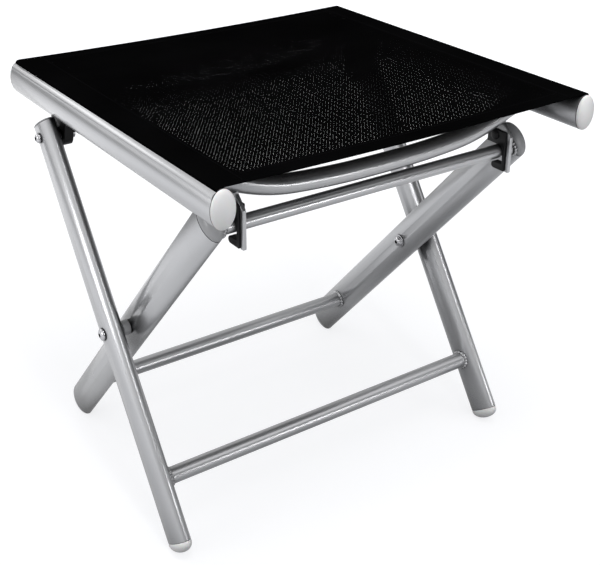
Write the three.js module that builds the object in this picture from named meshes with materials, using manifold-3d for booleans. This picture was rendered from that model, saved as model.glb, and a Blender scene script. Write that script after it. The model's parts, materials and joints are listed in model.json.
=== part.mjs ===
// Folding outdoor footstool: a fabric sling seat on two crossed pairs of tube legs.
// Millimetres, +Z up, X from rail to rail and the front at -Y.
// The origin is on the floor under the seat's middle.
import * as THREE from 'three'
import { mergeVertices } from 'three/addons/utils/BufferGeometryUtils.js'
import Module from 'manifold-3d'

const wasm = await Module()
wasm.setup()

// General fits
const touchGap = 0.3
const runningGap = 0.3
const overrun = 6
const headOverlap = 0.5
const roundSteps = 24
const smallRoundSteps = 16

// Seat rails
const railSpacing = 440
const railAboveHinge = 48.5
const railLength = 437.2
const railTall = 38
const railWide = 25
const railWall = 1.8
const railRoundSteps = 36

// Rod channel along each rail, and the slot that the fabric goes in by
const channelOut = 4.4
const channelUp = 11
const channelRadius = 4
const channelWall = 1.5
const slotWidth = 2.6
const rodRadius = 3.2

// Rail end caps
const railCapCrown = 6
const railCapRim = 0.8
const railCapPlug = 12
const railCapCrownSteps = 3

// Sling
const slingThick = 1
const slingSag = 2.5
const slingSteps = 16
const slingWrapSteps = 5

// Spreader tubes between the rails
const frontSpreaderBehindBar = 2.6
const rearSpreaderBehindHinge = 3.3
const spreaderRadius = 10.3
const spreaderWall = 1.5
const spreaderEndUp = 2
const spreaderRise = 33.3
const spreaderSteps = 26
const spreaderBoreSteps = 10
const spreaderRunShares = [0, 0.25, 0.482, 0.61, 0.723, 0.848, 0.94, 1]
const spreaderRiseShares = [0, 0.025, 0.12, 0.245, 0.448, 0.746, 0.925, 1]

// Leg tubes
const legDeep = 42
const legWide = 21
const legWall = 1.5
const legRoundSteps = 32
const pivotBack = 20
const pivotHeight = 211
const outerLegLean = 55.6
const innerLegLean = 48.3
const outerLegOutset = 2.4
const hingeUp = 226
const outerLegPastHinge = 14
const latchBarPastEnd = 1

// Leg ends
const footFlat = 0.8
const outerFootRim = 2.4
const outerFootCrown = 10.15
const innerFootRim = 0.8
const innerFootCrown = 9.9
const footPlug = 16
const footCrownSteps = 5
const topPlugDepth = 8
const topPlugRim = 1
const topPlugCrown = 2
const topPlugCrownSteps = 2
const topCapPlug = 16
const topCapRim = 1.5
const topCapCrown = 13
const topCapCrownSteps = 5

// Crossbars
const outerBarRadius = 9.5
const outerBarDown = 168.6
const innerBarRadius = 9.5
const innerBarDown = 192
const crossbarWall = 1.5
const latchBarRadius = 7.5
const latchBarWall = 1.5
const latchBelowRail = 52.1
const latchBarForward = 8

// Bolts
const boltHeadRim = 1
const boltCrownSteps = 3

// Centre pivots
const pivotBoltRadius = 4
const pivotHeadRadius = 7
const pivotHeadCrown = 3.2
const pivotNutRadius = 5.6
const pivotNutRim = 3
const pivotNutCrown = 3
const spacerRadius = 8.5
const spacerThick = 8.8

// Seat hinges
const hingeBoltRadius = 4
const hingeHeadRadius = 5.6
const hingeHeadCrown = 4
const hingeNutRadius = 6.5
const hingeNutThick = 5
const hingeWasherRadius = 8
const hingeWasherThick = 1.7

// Hinge brackets under the rails
const bracketThick = 10.6
const bracketEyeRadius = 13
const bracketFrontReach = 22.5
const bracketRearReach = 24.5
const bracketAboveLeg = 1.4
const bracketFlangeThick = 10
const bracketFlangeWide = 19.5
const screwRadius = 2.1
const screwHeadRadius = 4
const screwHeadRim = 1
const screwHeadCrown = 1.4
const screwLength = 13
const screwInset = 5.5
const screwAlongFlange = 15

// Latch plates and guides
const latchInset = 13.5
const plateThick = 4
const plateFrontReach = 16.2
const plateStripDeep = 4.6
const plateDrop = 21
const plateRearReach = 13
const plateEarDrop = 12
const plateFrontShoulder = 19
const plateRearShoulder = 27
const plateTopHalf = 6.5
const guideThick = 8
const guideTopTall = 16
const guideRearReach = 16
const guideLipReach = 7.5
const guideLipTall = 7.6
const guideLipUp = 0.5
const rivetRadius = 2
const rivetHeadRadius = 5.5
const rivetHeadRim = 0.6
const rivetHeadCrown = 1.8
const rivetUp = 17.5
const rivetBack = 4.5
const smallCrownSteps = 2

// Finishes
const silverPaint = new THREE.MeshStandardMaterial({ color: 0xa9abae, roughness: 0.38, metalness: 0.55 })
const whitePlastic = new THREE.MeshStandardMaterial({ color: 0xe4e5e8, roughness: 0.4, metalness: 0 })
const greyPlastic = new THREE.MeshStandardMaterial({ color: 0xc3c4c8, roughness: 0.4, metalness: 0 })
const blackPlastic = new THREE.MeshStandardMaterial({ color: 0x141416, roughness: 0.5, metalness: 0 })
const blackFabric = new THREE.MeshStandardMaterial({ color: 0x0b0b0c, roughness: 0.85, metalness: 0 })
const platedSteel = new THREE.MeshStandardMaterial({ color: 0xd2d3d6, roughness: 0.2, metalness: 1 })

const radians = THREE.MathUtils.degToRad

// Faces of the legs across X
const outerLegSpacing = railSpacing + 2 * outerLegOutset
const innerLegSpacing = outerLegSpacing - 2 * (legWide + spacerThick + 2 * touchGap)
const outerLegOutside = outerLegSpacing / 2 + legWide / 2
const outerLegInside = outerLegSpacing / 2 - legWide / 2
const innerLegOutside = innerLegSpacing / 2 + legWide / 2
const innerLegInside = innerLegSpacing / 2 - legWide / 2
const latchSpacing = 2 * (innerLegInside - latchInset)

// Where a leg's place along its own axis lies in Y and Z
function onOuterLeg(up) {
  const lean = radians(outerLegLean)
  return [pivotBack + up * Math.cos(lean), pivotHeight + up * Math.sin(lean)]
}

function onInnerLeg(up, forward) {
  const lean = radians(innerLegLean)
  return [pivotBack - up * Math.cos(lean) - forward * Math.sin(lean),
    pivotHeight + up * Math.sin(lean) - forward * Math.cos(lean)]
}

// How far a leaning cap's crown reaches, straight up or down, past the middle of its rim
function crownReach(leanDegrees, crown) {
  const lean = radians(leanDegrees)
  return Math.hypot(legDeep / 2 * Math.cos(lean), crown * Math.sin(lean))
}

// The tube's length below the pivot whose crowned foot reaches just under the floor, where it is cut flat
function lengthToFloor(leanDegrees, rim, crown) {
  const rimHeight = crownReach(leanDegrees, crown) - footFlat
  return (pivotHeight - rimHeight) / Math.sin(radians(leanDegrees)) - touchGap - rim
}

const [hingeY, hingeZ] = onOuterLeg(hingeUp)
const railHeight = hingeZ + railAboveHinge
const innerLean = radians(innerLegLean)
const latchBarUp = (railHeight - latchBelowRail + latchBarForward * Math.cos(innerLean) - pivotHeight)
  / Math.sin(innerLean)
const [latchY, latchZ] = onInnerLeg(latchBarUp, latchBarForward)
const outerLegUp = hingeUp + outerLegPastHinge
const outerLegDown = lengthToFloor(outerLegLean, outerFootRim, outerFootCrown)
const innerLegUp = latchBarUp - latchBarPastEnd
const innerLegDown = lengthToFloor(innerLegLean, innerFootRim, innerFootCrown)
const frontSpreaderY = latchY + frontSpreaderBehindBar
const rearSpreaderY = hingeY + rearSpreaderBehindHinge
const spreaderEndHeight = railHeight + spreaderEndUp

// Heights and faces of the hinge brackets
const topPlugRimHeight = onOuterLeg(outerLegUp + touchGap + topPlugRim)[1]
const flangeBottom = topPlugRimHeight + crownReach(outerLegLean, topPlugCrown) + bracketAboveLeg
const bracketTop = railHeight - railTall / 2 + bracketFlangeThick
const bracketOutside = outerLegInside - 2 * touchGap - hingeWasherThick
const bracketInside = bracketOutside - bracketThick

const seat = new THREE.Group()
const outerLegs = new THREE.Group()
const innerLegs = new THREE.Group()

// Solids from geometries and back

function solidOf(geometry) {
  const bare = geometry.clone()
  bare.deleteAttribute('normal')
  bare.deleteAttribute('uv')
  const merged = mergeVertices(bare)
  const corners = merged.index.array
  const triangles = []
  for (let i = 0; i < corners.length; i += 3) {
    const [a, b, c] = corners.slice(i, i + 3)
    if (a !== b && b !== c && c !== a) triangles.push(a, b, c)
  }
  const vertProperties = new Float32Array(merged.attributes.position.array)
  const triVerts = new Uint32Array(triangles)
  return new wasm.Manifold(new wasm.Mesh({ numProp: 3, vertProperties, triVerts }))
}

function geometryOf(solid) {
  const mesh = solid.getMesh()
  const places = new Float32Array(mesh.vertProperties)
  const geometry = new THREE.BufferGeometry()
  geometry.setAttribute('position', new THREE.BufferAttribute(places, mesh.numProp))
  geometry.setIndex(Array.from(mesh.triVerts))
  geometry.computeVertexNormals()
  return geometry
}

function addPiece(group, name, solid, material) {
  const mesh = new THREE.Mesh(geometryOf(solid), material)
  mesh.name = name
  group.add(mesh)
}

function cutBy(solid, ...tools) {
  return tools.reduce((rest, tool) => rest.subtract(tool), solid)
}

// Basic forms: an extrusion along each axis, a round bar along X, and a crowned cap

function outlineOf(points) {
  return new THREE.Shape(points.map(([a, b]) => new THREE.Vector2(a, b)))
}

function ellipseOutline(halfA, halfB, steps) {
  const outline = new THREE.Shape()
  outline.setFromPoints(new THREE.EllipseCurve(0, 0, halfA, halfB).getPoints(steps).slice(0, steps))
  return outline
}

function extrude(outline, length) {
  return new THREE.ExtrudeGeometry(outline, { depth: length, bevelEnabled: false })
}

// The outline is in X and Z, and the solid runs along Y from the given start
function alongY(outline, start, length) {
  const toWorld = new THREE.Matrix4().makeBasis(
    new THREE.Vector3(1, 0, 0), new THREE.Vector3(0, 0, 1), new THREE.Vector3(0, -1, 0))
  return solidOf(extrude(outline, length).applyMatrix4(toWorld).translate(0, start + length, 0))
}

// The outline is in Y and Z, and the solid runs along X from the given start
function alongX(outline, start, length) {
  const toWorld = new THREE.Matrix4().makeBasis(
    new THREE.Vector3(0, 1, 0), new THREE.Vector3(0, 0, 1), new THREE.Vector3(1, 0, 0))
  return solidOf(extrude(outline, length).applyMatrix4(toWorld).translate(start, 0, 0))
}

function alongZ(outline, start, length) {
  return solidOf(extrude(outline, length).translate(0, 0, start))
}

function barAlongX(radius, start, length, y, z, steps = roundSteps) {
  return solidOf(new THREE.CylinderGeometry(radius, radius, length, steps)
    .rotateZ(Math.PI / 2).translate(start + length / 2, y, z))
}

function barAlongZ(radius, start, length, x, y, steps = smallRoundSteps) {
  return solidOf(new THREE.CylinderGeometry(radius, radius, length, steps)
    .rotateX(Math.PI / 2).translate(x, y, start + length / 2))
}

// A cap on +Z: a straight rim from z = 0, then a crown, over an elliptical footprint
function crownedCap(halfX, halfY, rim, crown, steps, crownSteps) {
  const profile = [new THREE.Vector2(0, 0), new THREE.Vector2(1, 0)]
  for (let i = 0; i <= crownSteps; i++) {
    const turn = (i / crownSteps) * Math.PI / 2
    profile.push(new THREE.Vector2(Math.cos(turn), rim + crown * Math.sin(turn)))
  }
  profile[profile.length - 1].x = 0
  const cap = new THREE.LatheGeometry(profile, steps).rotateX(Math.PI / 2)
  return solidOf(cap.scale(halfX, halfY, 1))
}

// Turns a cap or a boss from +Z to the side that it faces along X
function facingSide(solid, side, x, y, z) {
  return solid.rotate([0, side * 90, 0]).translate([x, y, z])
}

// Rail section, hollow, with the rod channel on its outer upper side
function railKeepOut(side, gap) {
  return alongY(ellipseOutline(railWide / 2 + gap, railTall / 2 + gap, railRoundSteps),
    -railLength / 2 - overrun, railLength + 2 * overrun)
    .translate([side * railSpacing / 2, 0, railHeight])
}

function channelBar(radius, length, side) {
  return alongY(ellipseOutline(radius, radius, smallRoundSteps), -length / 2, length)
    .translate([side * (railSpacing / 2 + channelOut), 0, railHeight + channelUp])
}

function rail(side) {
  const cutLength = railLength + 2 * overrun
  const tube = alongY(ellipseOutline(railWide / 2, railTall / 2, railRoundSteps), -railLength / 2, railLength)
  const hollow = alongY(ellipseOutline(railWide / 2 - railWall, railTall / 2 - railWall, railRoundSteps),
    -cutLength / 2, cutLength).translate([side * railSpacing / 2, 0, railHeight])
  const slot = alongY(outlineOf([
    [-slotWidth / 2, 0], [slotWidth / 2, 0], [slotWidth / 2, railTall / 2], [-slotWidth / 2, railTall / 2]]),
  -cutLength / 2, cutLength).translate([side * (railSpacing / 2 + channelOut), 0, railHeight + channelUp])
  const cavity = hollow.subtract(channelBar(channelRadius + channelWall, cutLength, side))
  const screwHoles = screwPlaces(side).map(([x, y]) => barAlongZ(screwRadius + touchGap,
    railHeight - railTall / 2 - overrun, railTall / 2, x, y))
  return cutBy(tube.translate([side * railSpacing / 2, 0, railHeight]),
    cavity, channelBar(channelRadius, cutLength, side), slot, ...screwHoles)
}

function railCap(side, end) {
  const crown = crownedCap(railWide / 2, railTall / 2, railCapRim, railCapCrown, roundSteps,
    railCapCrownSteps)
  const plug = alongZ(ellipseOutline(railWide / 2 - railWall - touchGap, railTall / 2 - railWall - touchGap,
    roundSteps), -railCapPlug, railCapPlug + railCapRim / 2)
  const whole = crown.add(plug).rotate([-end * 90, 0, 0])
    .translate([side * railSpacing / 2, end * (railLength / 2 + touchGap), railHeight])
  const beside = channelBar(channelRadius + channelWall + touchGap, railLength + touchGap, side)
  return whole.subtract(beside)
}

function slingRod(side) {
  return channelBar(rodRadius, railLength - 2 * touchGap, side)
}

// Sling: over both rails' tops, a shallow sag between them, and a tab down each slot
function sling() {
  const clear = touchGap + slingThick / 2
  const top = railHeight + railTall / 2 + clear
  const middle = []
  for (let i = 0; i < slingWrapSteps; i++) {
    const share = 1 - i / slingWrapSteps
    const out = share * (channelOut + slotWidth / 4)
    const drop = Math.sqrt(1 - (out / (railWide / 2 + clear)) ** 2)
    middle.push([-railSpacing / 2 - out, railHeight + (railTall / 2 + clear) * drop])
  }
  for (let i = 0; i <= slingSteps; i++) {
    const share = i / slingSteps * 2 - 1
    middle.push([share * railSpacing / 2, top - slingSag * (1 - share * share)])
  }
  for (let i = slingWrapSteps - 1; i >= 0; i--) {
    const [x, z] = middle[i]
    middle.push([-x, z])
  }
  const outline = outlineOf([
    ...middle.map(([x, z]) => [x, z - slingThick / 2]),
    ...middle.map(([x, z]) => [x, z + slingThick / 2]).reverse()])
  const length = railLength - 2 * touchGap
  const tabFoot = railHeight + channelUp + rodRadius + touchGap
  const tabHead = middle[0][1]
  const tabs = [-1, 1].map((side) => alongY(outlineOf([
    [-slingThick / 2, tabFoot], [slingThick / 2, tabFoot],
    [slingThick / 2, tabHead], [-slingThick / 2, tabHead]]), -length / 2, length)
    .translate([side * (railSpacing / 2 + channelOut), 0, 0]))
  return tabs.reduce((cloth, tab) => cloth.add(tab), alongY(outline, -length / 2, length))
}

// Spreader tubes, bowed down between the rails
function spreaderPath(y) {
  const halfSpan = railSpacing / 2 - railWide / 2
  const half = spreaderRunShares.map((run, i) => new THREE.Vector3(
    run * halfSpan, y, spreaderEndHeight - spreaderRise * (1 - spreaderRiseShares[i])))
  half.push(new THREE.Vector3(halfSpan + overrun, y, spreaderEndHeight))
  const left = half.slice(1).reverse().map((p) => new THREE.Vector3(-p.x, p.y, p.z))
  return new THREE.CatmullRomCurve3([...left, ...half])
}

function spreaderHeightAt(x) {
  const points = spreaderPath(0).getPoints(spreaderSteps * smallRoundSteps)
  return points.find((point) => point.x >= x).z
}

function spreaderBar(y, radius, steps) {
  const outline = ellipseOutline(radius, radius, steps)
  return solidOf(new THREE.ExtrudeGeometry(outline, { steps: spreaderSteps, extrudePath: spreaderPath(y) }))
}

function spreader(y) {
  return cutBy(spreaderBar(y, spreaderRadius, smallRoundSteps),
    spreaderBar(y, spreaderRadius - spreaderWall, spreaderBoreSteps),
    railKeepOut(-1, touchGap), railKeepOut(1, touchGap))
}

function spreaderKeepOut(y) {
  return spreaderBar(y, spreaderRadius + touchGap, smallRoundSteps)
}

// Legs are drawn upright round the pivot's axis, then leaned and moved to the pivot
function leaned(solid, lean, forward) {
  return solid.rotate([forward * (90 - lean), 0, 0]).translate([0, pivotBack, pivotHeight])
}

function placeOnOuter(solid) {
  return leaned(solid, outerLegLean, -1)
}

function placeOnInner(solid) {
  return leaned(solid, innerLegLean, 1)
}

function legTube(x, up, down, boreHeights) {
  const outer = alongZ(ellipseOutline(legWide / 2, legDeep / 2, legRoundSteps), -down, up + down)
  const inner = alongZ(ellipseOutline(legWide / 2 - legWall, legDeep / 2 - legWall, legRoundSteps),
    -down - overrun, up + down + 2 * overrun)
  const bores = boreHeights.map(([radius, height]) =>
    barAlongX(radius + runningGap, -legWide, 2 * legWide, 0, height, smallRoundSteps))
  return cutBy(outer, inner, ...bores).translate([x, 0, 0])
}

function legKeepOut(spacing) {
  const longest = innerLegUp + innerLegDown
  const post = alongZ(ellipseOutline(legWide / 2 + touchGap, legDeep / 2 + touchGap, legRoundSteps),
    -longest, 2 * longest)
  return post.translate([-spacing / 2, 0, 0]).add(post.translate([spacing / 2, 0, 0]))
}

// A cap pushed into a tube's end, crowned on the outside; facing is 1 for the top and -1 for the bottom
function legCap(x, end, facing, plugLength, rim, crown, crownSteps) {
  const head = crownedCap(legWide / 2, legDeep / 2, rim, crown, roundSteps, crownSteps)
  const fit = legWall + touchGap
  const plug = alongZ(ellipseOutline(legWide / 2 - fit, legDeep / 2 - fit, smallRoundSteps),
    -plugLength, plugLength + rim / 2)
  return head.add(plug).rotate([facing < 0 ? 180 : 0, 0, 0]).translate([x, 0, facing * (end + touchGap)])
}

function cutAtFloor(solid) {
  return solid.trimByPlane([0, 0, 1], 0)
}

function outerFoot(x) {
  return cutAtFloor(placeOnOuter(
    legCap(x, outerLegDown, -1, footPlug, outerFootRim, outerFootCrown, footCrownSteps)))
}

function innerFoot(x) {
  return cutAtFloor(placeOnInner(
    legCap(x, innerLegDown, -1, footPlug, innerFootRim, innerFootCrown, footCrownSteps)))
}

function outerTopPlug(x) {
  return placeOnOuter(legCap(x, outerLegUp, 1, topPlugDepth, topPlugRim, topPlugCrown, topPlugCrownSteps))
}

function innerTopCap(x) {
  return placeOnInner(legCap(x, innerLegUp, 1, topCapPlug, topCapRim, topCapCrown, topCapCrownSteps))
}

// A hollow crossbar between two legs, its ends coped to their sections
function crossbar(radius, wall, spacing, y, z) {
  const tube = barAlongX(radius, -spacing / 2, spacing, y, z)
  const bore = barAlongX(radius - wall, -spacing / 2 - overrun, spacing + 2 * overrun, y, z, smallRoundSteps)
  return cutBy(tube, bore, legKeepOut(spacing))
}

// A bolt from the given place inside the stool to a domed head on the outer leg's outer face
function headedBolt(side, inside, radius, headRadius, headCrown, y, z) {
  const outside = outerLegOutside + touchGap
  const length = outside + headOverlap - inside
  const start = side > 0 ? inside : -inside - length
  const head = crownedCap(headRadius, headRadius, boltHeadRim, headCrown, smallRoundSteps, boltCrownSteps)
  return barAlongX(radius, start, length, y, z, smallRoundSteps)
    .add(facingSide(head, side, side * outside, y, z))
}

// Centre pivot: a domed bolt through both legs, a spacer between them and a cap nut inside
function pivotBolt(side) {
  const inside = innerLegInside - touchGap - pivotNutRim / 2
  return headedBolt(side, inside, pivotBoltRadius, pivotHeadRadius, pivotHeadCrown, pivotBack, pivotHeight)
}

function pivotNut(side) {
  const cap = crownedCap(pivotNutRadius, pivotNutRadius, pivotNutRim, pivotNutCrown, smallRoundSteps,
    boltCrownSteps)
  const placed = facingSide(cap, -side, side * (innerLegInside - touchGap), pivotBack, pivotHeight)
  const depth = touchGap + pivotNutRim / 2 + touchGap
  const bore = barAlongX(pivotBoltRadius + touchGap, side * innerLegInside - depth, 2 * depth,
    pivotBack, pivotHeight, smallRoundSteps)
  return placed.subtract(bore)
}

function pivotSpacer(side) {
  const length = outerLegInside - innerLegOutside - 2 * touchGap
  const start = side > 0 ? innerLegOutside + touchGap : -outerLegInside + touchGap
  return barAlongX(spacerRadius, start, length, pivotBack, pivotHeight)
    .subtract(barAlongX(pivotBoltRadius + touchGap, start - overrun, length + 2 * overrun,
      pivotBack, pivotHeight, smallRoundSteps))
}

// Seat hinge: bolt, washer and nut through the outer leg's top and the bracket's eye
function ringOnHinge(side, radius, inside, thick) {
  const start = side > 0 ? inside : -inside - thick
  return barAlongX(radius, start, thick, hingeY, hingeZ)
    .subtract(barAlongX(hingeBoltRadius + touchGap, start - overrun, thick + 2 * overrun,
      hingeY, hingeZ, smallRoundSteps))
}

function hingeWasher(side) {
  return ringOnHinge(side, hingeWasherRadius, bracketOutside + touchGap, hingeWasherThick)
}

function hingeNut(side) {
  return ringOnHinge(side, hingeNutRadius, bracketInside - touchGap - hingeNutThick, hingeNutThick)
}

function hingeBolt(side) {
  const inside = bracketInside - touchGap - hingeNutThick
  return headedBolt(side, inside, hingeBoltRadius, hingeHeadRadius, hingeHeadCrown, hingeY, hingeZ)
}

// Hinge bracket: an eye beside the leg, and a saddle under the rail
function screwPlaces(side) {
  return [hingeY - bracketFrontReach + screwInset, hingeY + bracketRearReach - screwInset]
    .map((y) => [side * (bracketInside + screwAlongFlange), y])
}

function hingeBracket(side) {
  const front = hingeY - bracketFrontReach
  const rear = hingeY + bracketRearReach
  const eye = new THREE.Shape()
  eye.moveTo(front, bracketTop)
  eye.lineTo(front, flangeBottom)
  eye.lineTo(hingeY - bracketEyeRadius, hingeZ)
  eye.absarc(hingeY, hingeZ, bracketEyeRadius, Math.PI, 2 * Math.PI, false)
  eye.lineTo(rear, flangeBottom)
  eye.lineTo(rear, bracketTop)
  const lug = alongX(eye, side > 0 ? bracketInside : -bracketOutside, bracketThick)
  const saddle = alongX(outlineOf([
    [front, flangeBottom], [rear, flangeBottom], [rear, bracketTop], [front, bracketTop]]),
  side > 0 ? bracketInside : -bracketInside - bracketFlangeWide, bracketFlangeWide)
  const middle = side * (bracketInside + bracketThick / 2)
  const bore = barAlongX(hingeBoltRadius + runningGap, middle - bracketThick, 2 * bracketThick,
    hingeY, hingeZ, smallRoundSteps)
  const screwHoles = screwPlaces(side).map(([x, y]) =>
    barAlongZ(screwRadius + touchGap, flangeBottom - overrun, 2 * bracketTop - 2 * flangeBottom, x, y))
  return cutBy(lug.add(saddle), bore, railKeepOut(side, touchGap), spreaderKeepOut(rearSpreaderY),
    ...screwHoles)
}

function bracketScrew(side, index) {
  const [x, y] = screwPlaces(side)[index]
  const seatHeight = flangeBottom - touchGap
  const head = crownedCap(screwHeadRadius, screwHeadRadius, screwHeadRim, screwHeadCrown, smallRoundSteps,
    smallCrownSteps).rotate([180, 0, 0]).translate([x, y, seatHeight])
  return head.add(barAlongZ(screwRadius, seatHeight - headOverlap, screwLength + headOverlap, x, y))
}

// Latch: a steel plate down from the front spreader, and a plastic guide that hooks over the latch bar
function latchPlate(side) {
  const front = latchY - plateFrontReach
  const strip = front + plateStripDeep
  const rear = latchY + plateRearReach
  const earFoot = latchZ + plateEarDrop
  const center = side * latchSpacing / 2
  const top = spreaderHeightAt(center)
  const topFront = frontSpreaderY - plateTopHalf
  const topRear = frontSpreaderY + plateTopHalf
  const outline = outlineOf([
    [front, latchZ - plateDrop], [strip, latchZ - plateDrop], [strip, earFoot], [rear, earFoot],
    [rear, latchZ + plateRearShoulder], [topRear, top - spreaderRadius], [topRear, top],
    [topFront, top], [topFront, top - spreaderRadius], [front, latchZ + plateFrontShoulder]])
  return cutBy(alongX(outline, center - plateThick / 2, plateThick),
    spreaderKeepOut(frontSpreaderY), rivetHole(center))
}

function rivetHole(center) {
  return barAlongX(rivetRadius + touchGap, center - guideThick, 2 * guideThick,
    latchY + rivetBack, latchZ + rivetUp, smallRoundSteps)
}

function latchGuide(side) {
  const front = latchY - plateFrontReach + plateStripDeep + touchGap
  const wall = latchY - latchBarRadius - touchGap
  const roof = latchZ + latchBarRadius + touchGap
  const sill = latchZ - plateDrop + guideLipUp
  const rear = latchY + guideRearReach
  const lip = latchY + guideLipReach
  const outline = outlineOf([
    [front, sill], [lip, sill], [lip, sill + guideLipTall], [wall, sill + guideLipTall],
    [wall, roof], [rear, roof], [rear, roof + guideTopTall], [front, roof + guideTopTall]])
  const center = side * latchSpacing / 2
  const pocket = alongX(outlineOf([
    [front - overrun, latchZ + plateEarDrop - touchGap],
    [latchY + plateRearReach + touchGap, latchZ + plateEarDrop - touchGap],
    [latchY + plateRearReach + touchGap, railHeight], [front - overrun, railHeight]]),
  center - plateThick / 2 - touchGap, plateThick + 2 * touchGap)
  return cutBy(alongX(outline, center - guideThick / 2, guideThick), pocket, rivetHole(center),
    spreaderKeepOut(frontSpreaderY))
}

function latchRivet(side) {
  const center = side * latchSpacing / 2
  const half = guideThick / 2 + touchGap
  const reach = half + headOverlap
  const shank = barAlongX(rivetRadius, center - reach, 2 * reach, latchY + rivetBack, latchZ + rivetUp,
    smallRoundSteps)
  const head = crownedCap(rivetHeadRadius, rivetHeadRadius, rivetHeadRim, rivetHeadCrown, smallRoundSteps,
    smallCrownSteps)
  return shank
    .add(facingSide(head, 1, center + half, latchY + rivetBack, latchZ + rivetUp))
    .add(facingSide(head, -1, center - half, latchY + rivetBack, latchZ + rivetUp))
}

const sides = [['left', -1], ['right', 1]]
const ends = [['front', -1], ['rear', 1]]

// Seat frame and sling
addPiece(seat, 'seat_sling', sling(), blackFabric)
addPiece(seat, 'front_spreader', spreader(frontSpreaderY), silverPaint)
addPiece(seat, 'rear_spreader', spreader(rearSpreaderY), silverPaint)
for (const [sideName, side] of sides) {
  addPiece(seat, `${sideName}_seat_rail`, rail(side), silverPaint)
  addPiece(seat, `${sideName}_sling_rod`, slingRod(side), blackPlastic)
  for (const [endName, end] of ends) {
    addPiece(seat, `${sideName}_${endName}_rail_cap`, railCap(side, end), whitePlastic)
  }
  addPiece(seat, `${sideName}_hinge_bracket`, hingeBracket(side), blackPlastic)
  ends.forEach(([endName], index) => {
    addPiece(seat, `${sideName}_${endName}_bracket_screw`, bracketScrew(side, index), platedSteel)
  })
  addPiece(seat, `${sideName}_latch_plate`, latchPlate(side), silverPaint)
  addPiece(seat, `${sideName}_latch_guide`, latchGuide(side), blackPlastic)
  addPiece(seat, `${sideName}_latch_rivet`, latchRivet(side), blackPlastic)
}

// Outer pair of legs, with the hinge and pivot hardware
const pivotBore = [pivotBoltRadius, 0]
const hingeBore = [hingeBoltRadius, hingeUp]
addPiece(outerLegs, 'outer_crossbar',
  placeOnOuter(crossbar(outerBarRadius, crossbarWall, outerLegSpacing, 0, -outerBarDown)), silverPaint)
for (const [sideName, side] of sides) {
  const x = side * outerLegSpacing / 2
  addPiece(outerLegs, `${sideName}_outer_leg`,
    placeOnOuter(legTube(x, outerLegUp, outerLegDown, [pivotBore, hingeBore])), silverPaint)
  addPiece(outerLegs, `${sideName}_outer_foot`, outerFoot(x), whitePlastic)
  addPiece(outerLegs, `${sideName}_outer_top_plug`, outerTopPlug(x), greyPlastic)
  addPiece(outerLegs, `${sideName}_hinge_bolt`, hingeBolt(side), platedSteel)
  addPiece(outerLegs, `${sideName}_hinge_washer`, hingeWasher(side), platedSteel)
  addPiece(outerLegs, `${sideName}_hinge_nut`, hingeNut(side), platedSteel)
  addPiece(outerLegs, `${sideName}_pivot_bolt`, pivotBolt(side), platedSteel)
  addPiece(outerLegs, `${sideName}_pivot_spacer`, pivotSpacer(side), greyPlastic)
  addPiece(outerLegs, `${sideName}_pivot_nut`, pivotNut(side), platedSteel)
}

// Inner pair of legs, with the bar that the seat latches on
addPiece(innerLegs, 'inner_crossbar',
  placeOnInner(crossbar(innerBarRadius, crossbarWall, innerLegSpacing, 0, -innerBarDown)), silverPaint)
addPiece(innerLegs, 'latch_crossbar',
  placeOnInner(crossbar(latchBarRadius, latchBarWall, innerLegSpacing, -latchBarForward, latchBarUp)),
  silverPaint)
for (const [sideName, side] of sides) {
  const x = side * innerLegSpacing / 2
  addPiece(innerLegs, `${sideName}_inner_leg`,
    placeOnInner(legTube(x, innerLegUp, innerLegDown, [pivotBore])), silverPaint)
  addPiece(innerLegs, `${sideName}_inner_foot`, innerFoot(x), greyPlastic)
  addPiece(innerLegs, `${sideName}_inner_top_cap`, innerTopCap(x), greyPlastic)
}

const stool = new THREE.Group()
stool.add(seat, outerLegs, innerLegs)

export default stool
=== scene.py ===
import json
import math

import bmesh
import bpy
from bpy.props import FloatProperty, FloatVectorProperty, IntProperty, PointerProperty
from mathutils import Euler, Matrix, Vector


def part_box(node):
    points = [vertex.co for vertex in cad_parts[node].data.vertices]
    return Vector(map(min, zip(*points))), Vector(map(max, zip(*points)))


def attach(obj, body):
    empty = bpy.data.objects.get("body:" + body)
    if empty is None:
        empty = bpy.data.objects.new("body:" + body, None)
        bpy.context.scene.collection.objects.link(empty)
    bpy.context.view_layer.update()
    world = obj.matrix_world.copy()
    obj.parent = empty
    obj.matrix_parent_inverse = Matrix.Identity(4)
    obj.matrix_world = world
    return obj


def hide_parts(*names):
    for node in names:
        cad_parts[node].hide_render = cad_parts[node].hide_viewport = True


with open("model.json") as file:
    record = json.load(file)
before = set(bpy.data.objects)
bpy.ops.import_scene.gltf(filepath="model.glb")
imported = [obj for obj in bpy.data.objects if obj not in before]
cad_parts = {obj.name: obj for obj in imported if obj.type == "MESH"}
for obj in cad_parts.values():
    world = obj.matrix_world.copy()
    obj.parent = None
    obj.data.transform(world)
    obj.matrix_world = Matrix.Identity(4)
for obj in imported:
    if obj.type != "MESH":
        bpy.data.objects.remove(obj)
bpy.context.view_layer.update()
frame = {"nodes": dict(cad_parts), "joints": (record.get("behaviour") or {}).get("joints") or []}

bl_info = {
    "name": "Folding Sling Footstool",
    "version": (1, 0, 0),
    "blender": (4, 5, 0),
    "location": "3D View > Sidebar > Footstool",
    "description": "Builds the finish of a folding footstool with a mesh sling on oval tube legs",
    "category": "Add Mesh",
}

SIDES = (("left", -1), ("right", 1))
ENDS = (("front", -1), ("rear", 1))

# The places of the frame's joints, in metres
JOINTS = {joint["name"]: joint for joint in frame["joints"]}
PIVOT = Vector(JOINTS["leg_fold"]["pos_m"])
HINGE = Vector(JOINTS["seat_hinge"]["pos_m"])

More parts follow.
